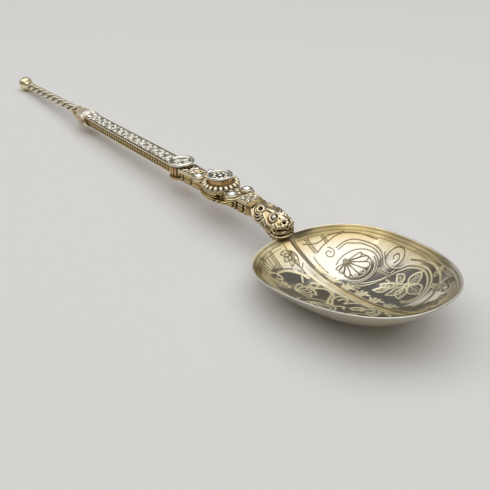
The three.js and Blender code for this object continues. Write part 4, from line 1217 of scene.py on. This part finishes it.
# plates on the stem
plate = dict(
    low=3.3, top=4.3, half=3.4, round=6.7, lobe=2.55, pearls=((-10.5, 3.2), (-31.0, 2.65)), inset=0.02,
    curlReach=2.9, curlSpread=1.2, curl=(0.75, 0.26), curlEye=(0.36, 0.36, 0.4), tongueReach=0.4,
    tongue=(1.1, 0.5, 0.5), edgeDrop=0.1, edgeShade=-0.3, edgeGold=0.6, steps=300,
    # offset and height over the underside, then under the top
    foot=((-0.35, 0), (-0.05, 0.06), (0.1, 0.2), (0.1, 0.38), (-0.1, 0.48), (-0.12, 0.58), (0.02, 0.68),
        (0.02, 0.86)),
    crest=((-0.12, -0.04), (-0.35, 0), (-0.5, -0.12), (-0.8, -0.16)))


def makeBossPlate():
    (frontX, _), (backX, _) = plate["pearls"]
    low, top, lobe = plate["low"], plate["top"], plate["lobe"]

    def halfAt(x):
        wide = np.where((x > backX) & (x < frontX), plate["half"], 0)
        wide = np.maximum(wide, np.sqrt(np.clip(plate["round"] ** 2 - (x - stem["boss"]) ** 2, 0, None)))
        for px, py in plate["pearls"]:
            inside = lobe ** 2 - (x - px) ** 2
            wide = np.maximum(wide, np.where(inside > 0, py + np.sqrt(np.clip(inside, 0, None)), 0))
        return wide

    profile = [(out, low + z) for out, z in plate["foot"]] + [(out, top + z) for out, z in plate["crest"]]
    back, front = backX - lobe + plate["inset"], frontX + lobe - plate["inset"]
    parts = [moulding(sideOutline(halfAt, back, front, plate["steps"]), profile)]
    for px, _ in plate["pearls"]:  # leaf curls between the pearls and the boss
        inward = 1 if px < stem["boss"] else -1
        for _, side in bothSides:
            place = px + inward * plate["curlReach"], side * plate["curlSpread"], top
            parts.append(ring(*place, *plate["curl"], segments=28, sides=10))
            parts.append(ball(*place, plate["curlEye"], segments=14, rings=8))
        tongueX = px + inward * plate["tongueReach"]
        parts.append(ball(tongueX, 0, top, plate["tongue"], segments=20, rings=10))
    piece = joinAll(parts)
    # the moulded sides below the top are painted darker (painted shade) and gold
    edge = pointsOf(piece)[:, 2] < top - plate["edgeDrop"]
    markWearAndShading(piece, reach=0.3, rounds=1, extra=plate["edgeShade"] * edge)
    markPoints(piece, "gold", plate["edgeGold"] * edge)
    seat(piece, "boss_plate_moulded", "boss_plate", "stem", "relief", "gilt_relief", sharpFrom=45)


# lower panel: two pairs of volutes with leaves between them, and a row of beads along each side
lower = dict(
    back=-7.75, front=-2.4, drop=0.1, relief=0.55, stroke=0.29, crown=0.06, beads=5, beadStart=0.5,
    beadPitch=1.1, beadInset=0.15, beadSize=(0.5, 0.42, 0.55), steps=(80, 100))


def makeLowerPanel():
    back, half, ground = lower["back"], plate["half"], plate["top"] - lower["drop"]
    planAt = flatPlan(back, lower["front"], lambda x: half)

    def heightAt(x, y):
        lines = [petal(back + 0.2, 0, 0, 0.2, 2.4, 1.1), petal(back + 2.7, 0, 0, 0.2, 2.5, 1.0)]
        for side in (1, -1):
            lines += [arc(back + 1.35, side * 1.6, 1.05, side * 210, side * -210, 0.3),
                      arc(back + 3.9, side * 1.55, 1.05, side * 30, side * 420, 0.3),
                      through([(back + 2.5, side * 2.2), (back + 2.9, side * 2.9)])]
        scrolls = stroke(distanceTo(lines, x, y), lower["relief"], lower["stroke"])
        return ground + scrolls + lower["crown"] * (1 - (y / half) ** 2)

    parts = [relief(lower["steps"], planAt, heightAt, plate["low"], reach=0.4, depth=1.4)]
    for k in range(lower["beads"]):
        for side in (1, -1):
            x, y = back + lower["beadStart"] + lower["beadPitch"] * k, side * (half - lower["beadInset"])
            parts.append(ball(x, y, ground, lower["beadSize"], segments=16, rings=10))
    seat(joinAll(parts), "lower_panel_carved", "lower_panel", "stem", "relief", "gilt_relief", sharpFrom=60)


# shoulder panel: a pair of volutes with sprigs, widening to the upper drum
shoulder = dict(
    back=-42.4, front=-33.7, flare=0.7, drop=0.25, relief=0.5, stroke=0.3, rimInset=0.3, curlX=-34.9,
    curlSpread=0.9, curlRise=0.25, curl=(0.62, 0.3), curlTilt=25, steps=(110, 90))


def makeShoulderPanel():
    def halfAt(x):
        return plate["half"] + shoulder["flare"] * ramp(x, shoulder["front"], stem["drum"])

    def heightAt(x, y):
        lines = strokes([(-36.0, 0), (-34.3, 0)])
        for side in (1, -1):
            lines.append(arc(-37.6, side * 1.2, 1.5, side * -150, side * 330, 0.35))
            lines += strokes([(-41.4, 0), (-39.8, side * 0.2), (-38.8, side * 2.4)],
                             [(-35.6, side * 1.4), (-34.2, side * 2.3)],
                             [(-40.8, side * 2.6), (-40.2, side * 1.3)])
        nearest = np.minimum(distanceTo(lines, x, y), np.abs(halfAt(x) - np.abs(y) - shoulder["rimInset"]))
        return plate["top"] - shoulder["drop"] + stroke(nearest, shoulder["relief"], shoulder["stroke"])

    planAt = flatPlan(shoulder["back"], shoulder["front"], halfAt)
    parts = [relief(shoulder["steps"], planAt, heightAt, plate["low"], reach=0.35, depth=0.9)]
    for side in (1, -1):
        place = shoulder["curlX"], side * shoulder["curlSpread"], plate["top"] + shoulder["curlRise"]
        tilt = 0, shoulder["curlTilt"], 0
        parts.append(ring(*place, *shoulder["curl"], segments=26, sides=10, tilt=tilt))
    piece = joinAll(parts)
    seat(piece, "shoulder_panel_carved", "shoulder_panel", "stem", "relief", "gilt_relief", sharpFrom=60)


# pearls in their collets
pearl = dict(
    radius=1.62, height=1.25, base=4.85, steps=14, turnSteps=40,
    collet=((2.2, 4.3), (2.3, 4.6), (2.2, 5.0), (2.0, 5.25), (1.78, 5.2), (1.7, 4.8)))


def makePearls():
    turns = [math.pi / 2 * step / pearl["steps"] for step in range(pearl["steps"] + 1)]
    dome = [(pearl["radius"] * math.cos(t), pearl["base"] + pearl["height"] * math.sin(t)) for t in turns]
    spots = [(px, side * py) for px, py in plate["pearls"] for side in (1, -1)]
    for index, (x, y) in enumerate(spots, 1):
        piece = shift(turned(pearl["collet"], pearl["turnSteps"]), x, y)
        markWearAndShading(piece, reach=0.3, rounds=1)
        names = "pearl_setting_%d" % index, "pearl_collet_%d" % index
        seat(piece, *names, "stem", "relief", "gilt_relief", sharpFrom=50)
        piece = shift(lathe([(0, pearl["base"]), *dome], pearl["turnSteps"]), x, y)
        markWearAndShading(piece, reach=0.4, rounds=1)
        seat(piece, "pearl_dome_%d" % index, "pearl_%d" % index, "stem", "bead", "silver_bead", sharpFrom=50)


# boss: petals round a plain drum with a rosette in its bezel
boss = dict(
    drum=((4.6, 4.6), (4.6, 5.25), (4.4, 5.5), (4.28, 5.8), (4.28, 7.2), (4.46, 7.35), (4.56, 7.65),
        (4.46, 8.02), (4.18, 8.24), (3.82, 8.26), (3.5, 8.1), (3.34, 7.8), (3.3, 7.35)),
    bezel=7.3, bezelRub=0.9, sideGold=0.7,
    flange=((4.4, 5.5), (4.9, 5.4), (5.15, 5.15), (6.1, 4.8), (6.7, 4.6), (6.68, 4.35)),
    flangeEnds=(5.95, 4.4), flangeShade=-0.75, footRun=(4.8, 4.3), footShade=0.6, petals=20,
    petalSize=(1.12, 0.70, 0.62), petalFlare=0.2, petalPlace=(5.85, 5.1), petalLean=28, turnSteps=96)


def makeBoss():
    drum = shift(turned(boss["drum"], boss["turnSteps"]), stem["boss"])
    onBezel = pointsOf(drum)[:, 2] > boss["bezel"]
    markWearAndShading(drum, reach=0.3, rounds=1, extra=onBezel * boss["bezelRub"])
    markPoints(drum, "gold", ~onBezel * boss["sideGold"])
    seat(drum, "boss_drum_turned", "boss_drum", "stem", "drum", "gilt_bright", sharpFrom=45)

    flange = turned(boss["flange"], boss["turnSteps"], boss["flangeEnds"])
    # the flange under the petals is painted dark: painted shade
    markPoints(flange, "pits", boss["flangeShade"])
    # one petal: a long bead that leans outwards and narrows inwards
    one = ball(0, 0, 0, boss["petalSize"], segments=22, rings=14)
    x, y, z = pointsOf(one).T
    movePoints(one, x, y * (1 + boss["petalFlare"] * x / boss["petalSize"][0]), z)
    one.data.transform(Matrix.Rotation(math.radians(boss["petalLean"]), 4, "Y"))
    reach, height = boss["petalPlace"]
    shift(one, reach, 0, height)
    petals = shift(joinAll([flange, *ringOf(one, boss["petals"])]), stem["boss"])
    # the petals are painted darker towards their foot: painted shade
    foot = ramp(pointsOf(petals)[:, 2], *boss["footRun"]) * boss["footShade"]
    markWearAndShading(petals, reach=0.35, rounds=1, extra=markOf(petals, "pits") - foot)
    seat(petals, "petal_ring_modelled", "petal_ring", "stem", "relief", "gilt_relief", sharpFrom=55)


# upper drum: a thick polished rim over a ribbed side and a thin flange at the foot
upper = dict(
    profile=((4.9, 0.0), (5.05, 0.25), (4.95, 0.6), (4.35, 0.75), (4.2, 1.1), (4.25, 4.6), (4.3, 4.95),
        (4.8, 5.1), (5.0, 5.35), (4.95, 5.8), (4.7, 6.12), (4.35, 6.25), (3.95, 6.15), (3.68, 5.9),
        (3.6, 5.6)),
    cornerShare=0.35, ribs=18, ribPlace=(4.2, 0, 2.9), ribSize=(0.42, 0.56, 1.9), ribNarrow=0.25,
    ribRun=(1, 4.8), sideRadius=4.4, sideRun=(0.65, 5.0), sideShade=0.6, rimFrom=5.15, rimRub=0.9,
    goldTo=5.1, sideGold=0.9, turnSteps=96)


def makeUpperDrum():
    drum = turned(upper["profile"], upper["turnSteps"], share=upper["cornerShare"])
    rib = ball(*upper["ribPlace"], upper["ribSize"], segments=14, rings=12)
    x, y, z = pointsOf(rib).T
    foot, top = upper["ribRun"]
    movePoints(rib, x, y * (1 - upper["ribNarrow"] + upper["ribNarrow"] * (z - foot) / (top - foot)), z)
    piece = joinAll([drum, *ringOf(rib, upper["ribs"], start=0.5)])
    x, y, z = pointsOf(piece).T
    foot, top = upper["sideRun"]
    # between the ribs the side is painted darker (painted shade); the top rim is rubbed pale
    between = (np.hypot(x, y) < upper["sideRadius"]) & (z > foot) & (z < top)
    rubAndSheen = (z > upper["rimFrom"]) * upper["rimRub"]
    markWearAndShading(piece, reach=0.3, rounds=1, extra=rubAndSheen - between * upper["sideShade"])
    markPoints(piece, "gold", (z < upper["goldTo"]) * upper["sideGold"])
    shift(piece, stem["drum"])
    seat(piece, "upper_drum_ribbed", "upper_drum", "stem", "drum", "gilt_bright", sharpFrom=50)


# medallions: a rosette in the bezel of each drum
medal = dict(
    steps=(72, 72), thick=0.3, bossZ=7.5, bossRadius=3.38, bossDepth=0.85, dots=8, dotReach=2.2,
    dot=(0.72, 0.5), middleDot=(0.85, 0.6), bossRim=(3.2, 0.25, 0.16), upperZ=5.62, upperRadius=3.68,
    upperDepth=1.2, blades=4, blade=0.45, bladeFrom=0.9, bladeRound=0.6, bladeReach=(2.6, 0.5),
    heart=(0.5, 0.5), upperRim=(3.4, 0.3, 0.18))


def dottedHeight(x, y):
    def dome(away, size, rise):
        return rise * np.sqrt(np.clip(1 - (away / size) ** 2, 0, 1))

    height = dome(np.hypot(x, y), *medal["middleDot"])
    for k in range(medal["dots"]):
        turn = 2 * math.pi * (k + 0.5) / medal["dots"]
        dotX, dotY = medal["dotReach"] * math.cos(turn), medal["dotReach"] * math.sin(turn)
        height = np.maximum(height, dome(np.hypot(x - dotX, y - dotY), *medal["dot"]))
    radius, rise, width = medal["bossRim"]
    return np.maximum(height, stroke(np.hypot(x, y) - radius, rise, width))


def bladedHeight(x, y):
    away = np.hypot(x, y)
    reach, fade = medal["bladeReach"]
    blades = np.abs(np.cos(np.arctan2(y, x) * medal["blades"])) ** medal["bladeRound"]
    height = medal["blade"] * blades * ramp(away, 0, medal["bladeFrom"])
    height = height * stroke(np.maximum(away - reach, 0), 1, fade)
    radius, rise, width = medal["upperRim"]
    return np.maximum(np.maximum(height, stroke(away, *medal["heart"])), stroke(away - radius, rise, width))


def makeMedallions():
    rosettes = ("boss", stem["boss"], dottedHeight), ("upper", stem["drum"], bladedHeight)
    for place, middle, heightAt in rosettes:
        z, radius, depth = (medal[place + value] for value in ("Z", "Radius", "Depth"))

        def planAt(u, v):
            x, y = discPlan(u, v)
            return radius * x, radius * y

        def riseAt(x, y):
            return z + heightAt(x, y)

        piece = relief(medal["steps"], planAt, riseAt, z - medal["thick"], reach=0.3, depth=depth)
        shift(piece, middle)
        seat(piece, place + "_rosette", place + "_medallion", "stem", "panel", "gilt_relief", sharpFrom=60)


# neck collar: three bands between the stem and the head
collar = dict(
    back=-2.5, front=-0.3, half=3.95, high=2.55, middle=2.175, power=3, bands=3, depth=0.4, steps=(36, 120))


def makeCollar():
    def pointAt(along, around):
        dip = collar["depth"] * np.cos(math.pi * collar["bands"] * along) ** 2
        y, z = squarish(around, collar["half"] - dip, collar["high"] - dip, collar["power"])
        return collar["back"] + (collar["front"] - collar["back"]) * along, y, z + collar["middle"]

    piece = tube(collar["steps"], pointAt)
    markWearAndShading(piece, reach=0.3, rounds=1)
    seat(piece, "neck_collar_banded", "neck_collar", "stem", "deep", "gilt_relief", sharpFrom=50)


# beast head, from the collar to the snout over the bowl; x from the heel, z over its rim
head = dict(
    back=-headLength, length=15.1, crown=7.1, high=9.8, half=4.5, power=2.4, steps=(190, 170), lastShare=0.94,
    neck=(0.0, -headLength, 4.465, 3.5, 2.3), tipX=2.85, tipRise=0.1, least=0.05,
    # share of the length, then shares of the width, the top and the underside
    outline=((0.13, 0.93, 0.03, 0.56), (0.33, 1.0, 0.0, 0.62), (0.53, 0.95, 0.0, 0.77),
        (0.68, 0.88, 0.02, 0.94), (0.8, 0.82, 0.04, 1.0), (0.89, 0.72, 0.08, 0.91), (0.96, 0.55, 0.15, 0.75),
        (1.0, 0.34, 0.26, 0.58)),
    eye=(-2.75, 1.85, 6.35), eyeSize=0.72, eyeOut=0.1, eyeUp=0.12, ear=(-9.3, 2.1, 6.75),
    earRing=(1.1, 0.38), earTilt=(28, 8), earRub=0.6, rimGap=0.12, overBowl=(-0.5, -0.2), liftShading=2.0,
    mostWear=0.8, throatRun=(3.6, 0.6), throatShade=0.3, crownHighlight=0.45, crownHalf=1.8, crownSlope=0.7,
    crownFloor=-0.1)

# its carving: rise or depth and width of each stroke
headCut = dict(
    sideRun=(0, 1.2), band=(0.32, 0.75), bandEnd=1.2, edgeAt=1.25, edge=(-0.22, 0.3), edgeRun=(-7.5, -0.4),
    browReach=1.45, brow=(0.45, 0.34), browDrop=0.9, socketReach=0.9, socket=(-0.5, 0.3),
    pitRim=(0.28, 0.24), rimReach=1.75, maneRings=(2.0, 2.85, 3.7, 4.6, 5.5), mane=(0.34, 0.24),
    maneGap=0.42, maneGroove=(-0.3, 0.22), maneTop=(6.4, 5.6), maneFront=(-5.3, -6.3), earPit=(-0.5, 0.7),
    # nostrils and pierced dots: place, width, depth
    pits=(((1.25, 1.05, 6.0), 0.52, 0.75), ((2.5, 0.75, 4.7), 0.34, 0.5), ((1.5, 2.0, 4.6), 0.3, 0.45),
        ((-1.7, 3.2, 4.1), 0.36, 0.55)))

# lines drawn on the profile in x and z: rise, width, whether on the flanks only, routes
headLines = [
    (0.34, 0.3, True, ([(1.7, 5.1), (0.3, 4.7), (-0.8, 5.3)], [(0.2, 3.2), (-0.8, 4.3), (-1.4, 4.9)],
                       [(-1.4, 4.9), (-2.6, 4.3), (-3.8, 4.6)])),  # folds of the muzzle
    (0.25, 0.3, False, ([(2.8, 2.9), (1.2, 2.5), (-0.6, 2.3)],)),  # lip
    (-0.42, 0.42, False, ([(2.4, 3.9), (0.9, 3.5), (-0.5, 3.1)],)),
    (-0.75, 0.26, False, ([(3.0, 2.2), (1.2, 1.75), (-0.8, 1.55), (-1.7, 2.1)],)),  # mouth
    (0.36, 0.26, False, ([(3.0, 1.65), (1.2, 1.15), (-0.8, 0.95), (-2.0, 1.2)],)),  # jaw
    (0.5, 0.16, True, ([(-0.55, 1.5), (-0.55, 2.2)],)),  # teeth
    (0.5, 0.16, True, ([(0.45, 1.5), (0.45, 2.2)],)),
    (0.3, 0.32, True, ([(-7.4, 5.9), (-5.6, 5.0), (-4.3, 4.0)],
                       [(-6.6, 6.5), (-5.0, 5.6), (-4.0, 4.9)])),  # cheek leaf
]
for k in range(5):  # stacked ridges down the throat
    backX, ridgeZ = -6.4 + 0.3 * k, 3.1 - 1.08 * k
    ridge = [(backX, ridgeZ + 0.5), (-4.2, ridgeZ), (-2.5, ridgeZ - 0.35)]
    groove = [(backX + 0.2, ridgeZ - 0.05), (-4.1, ridgeZ - 0.54), (-2.4, ridgeZ - 0.9)]
    headLines += [(0.38, 0.3, True, (ridge,)), (-0.34, 0.24, True, (groove,))]


def headPoint(along, around):
    rows = [head["neck"]]
    for share, wide, top, under in head["outline"]:
        middle = head["crown"] - head["high"] * (top + under) / 2
        rows.append((share * head["lastShare"], head["back"] + head["length"] * share, middle,
                     head["half"] * wide, head["high"] * (under - top) / 2))
    rows.append((1.0, head["tipX"], rows[-1][2] + head["tipRise"], head["least"], head["least"]))
    x, middle, wide, high = (eased([(row[0], row[k]) for row in rows], along) for k in (1, 2, 3, 4))
    y, z = squarish(around, np.maximum(wide, head["least"]), np.maximum(high, head["least"]), head["power"])
    return x, y, z + middle


def carveHead(points, normals):
    x, y, z = points.T
    side = np.abs(y)
    flank = ramp(side, *headCut["sideRun"])
    up = facingUp(normals)

    def awayFrom(place):
        return np.linalg.norm(np.stack([x, side, z], 1) - place, axis=1)

    # forehead band down to the nose, with a groove along its edges
    lift = stroke(side, *headCut["band"]) * up * (x < headCut["bandEnd"])
    back, front = headCut["edgeRun"]
    lift += stroke(side - headCut["edgeAt"], *headCut["edge"]) * up * (x > back) * (x < front)
    eye, ear = awayFrom(head["eye"]), awayFrom(head["ear"])
    lift += stroke(eye - headCut["browReach"], *headCut["brow"]) * (z > head["eye"][2] - headCut["browDrop"])
    lift += stroke(eye - headCut["socketReach"], *headCut["socket"])
    for place, width, depth in headCut["pits"]:
        away = awayFrom(place)
        lift += stroke(away - width * headCut["rimReach"], *headCut["pitRim"]) - stroke(away, depth, width)
    for rise, width, flanksOnly, routes in headLines:
        lift += stroke(distanceTo(strokes(*routes), x, z), rise, width) * (flank if flanksOnly else 1)
    # mane: rings about the ear, on the lower and rear side
    rear = ramp(z, *headCut["maneTop"]) * ramp(x, *headCut["maneFront"])
    for radius in headCut["maneRings"]:
        groove = stroke(ear - radius - headCut["maneGap"], *headCut["maneGroove"])
        lift += (stroke(ear - radius, *headCut["mane"]) + groove) * rear
    return lift + stroke(ear, *headCut["earPit"])


def makeHead():
    piece = tube(head["steps"], headPoint)
    points, normals = pointsOf(piece), normalsOf(piece)
    lift = carveHead(points, normals)
    x, y, z = (points + normals * lift[:, None]).T
    # over the bowl the jaw ends on the rim's plane
    rim = head["rimGap"] + np.maximum(x, 0) * math.tan(bowlSlope)
    over = ramp(x, *head["overBowl"])
    movePoints(piece, x, y, np.maximum(z, rim * over + z * (1 - over)))
    # painted shade: the head is darker towards the bottom
    shade = head["throatShade"] * ramp(points[:, 2], *head["throatRun"])
    # painted highlight on the crown where it faces up
    crown = facingUp(normals, head["crownSlope"]) * stroke(points[:, 1], head["crownHighlight"], head["crownHalf"])
    # raised carving is painted pale and sunk carving dark: wear with painted highlight and painted shade
    rubAndSheen = np.clip(lift * head["liftShading"], -1, head["mostWear"])
    markWearAndShading(piece, reach=0.5, rounds=2, extra=rubAndSheen - shade + crown * (lift > head["crownFloor"]))
    parts = [piece]
    earX, earY, earZ = head["ear"]
    lean, tip = head["earTilt"]
    for _, side in bothSides:
        tilt = -side * lean, tip, 0
        curl = ring(earX, side * earY, earZ, *head["earRing"], segments=44, sides=16, tilt=tilt)
        markPoints(curl, "wearAndShading", head["earRub"])
        parts.append(curl)
    seat(joinAll(parts), "beast_head_carved", "beast_head", "head", "beast", "gilt_bright", sharpFrom=75)
    eyeX, eyeY, eyeZ = head["eye"]
    for hand, side in bothSides:
        place = eyeX, side * (eyeY + head["eyeOut"]), eyeZ + head["eyeUp"]
        eye = ball(*place, [head["eyeSize"]] * 3, segments=32, rings=20)
        markWearAndShading(eye, reach=0.3, rounds=1)
        seat(eye, "beast_eye_" + hand, "eye_" + hand, "head", "bead", "silver_bead", sharpFrom=60)


makeBowl()
for makePiece in (makeKnop, makeRod, makeCap, makeMaskEyes, makeShaftBar, makeShaftPanel, makeShaftBands,
                  makeStem, makeBossPlate, makeLowerPanel, makeShoulderPanel, makePearls, makeBoss,
                  makeMedallions, makeUpperDrum, makeCollar, makeHead):
    makePiece()
print("handle and head modelled")


# stage: floor, light and camera, in metres, watts and degrees
stageLook = dict(
    floorColor=(0.80, 0.79, 0.77), floorReach=6.0, floorRough=0.85, floorScale=9.0, floorCloud=0.12,
    floorSpread=0.015, sky=0.13, cameraPlace=(0.21971, -0.13294, 0.12843), cameraTurn=(58.10, 0.03, 51.78),
    sensor=36, nearest=0.005,
    focal=720.0, picture=490,  # both in pixels of the photograph
    # soft boxes: place, width, depth, power
    boxes={"overhead": ((0.10, 0.0, 1.0), 1.8, 1.8, 12.6), "left": ((-0.75, -0.49, 0.69), 0.7, 0.6, 1.1),
        "back": ((0.18, 0.92, 0.77), 0.7, 0.5, 0.8), "low": ((-1.5, 0.25, 0.22), 1.6, 0.35, 1.0)},
    aim=(0.10, 0.0, 0.0))


def makeFloor():
    freshStart()
    bpy.ops.mesh.primitive_plane_add(size=2 * stageLook["floorReach"], location=(0, 0, 0))
    floor = bpy.context.object
    floor.name = "floor"
    pale = Finish("pale_floor")
    cloud = (pale.grain(stageLook["floorScale"]) - 0.5) * stageLook["floorCloud"] + 0.5
    tones = [[part * share for part in stageLook["floorColor"]]
             for share in (1 - stageLook["floorSpread"], 1 + stageLook["floorSpread"])]
    pale.set("Base Color", pale.blend(cloud, *tones))
    pale.set("Roughness", stageLook["floorRough"])
    floor.data.materials.append(pale.material)


def makeLights():
    world = bpy.data.worlds.new("studio")
    bpy.context.scene.world = world
    world.use_nodes = True
    world.node_tree.nodes["Background"].inputs["Color"].default_value = opaque([stageLook["sky"]] * 3)
    for name, (place, wide, deep, watts) in stageLook["boxes"].items():
        freshStart()
        bpy.ops.object.light_add(type="AREA", location=place)
        softBox = bpy.context.object
        softBox.name = "soft_box_" + name
        softBox.data.shape = "RECTANGLE"
        softBox.data.size = wide
        softBox.data.size_y = deep
        softBox.data.energy = watts
        ray = Vector(stageLook["aim"]) - Vector(place)
        softBox.rotation_euler = ray.to_track_quat("-Z", "Y").to_euler()


def makeCamera():
    bpy.ops.object.camera_add(location=stageLook["cameraPlace"],
                              rotation=[math.radians(a) for a in stageLook["cameraTurn"]])
    camera = bpy.context.object
    camera.data.sensor_width = stageLook["sensor"]
    camera.data.lens = stageLook["focal"] / stageLook["picture"] * stageLook["sensor"]
    camera.data.clip_start = stageLook["nearest"]
    bpy.context.scene.camera = camera
    bpy.context.scene.view_settings.view_transform = "Standard"


makeFloor()
makeLights()
makeCamera()
print("stage set")
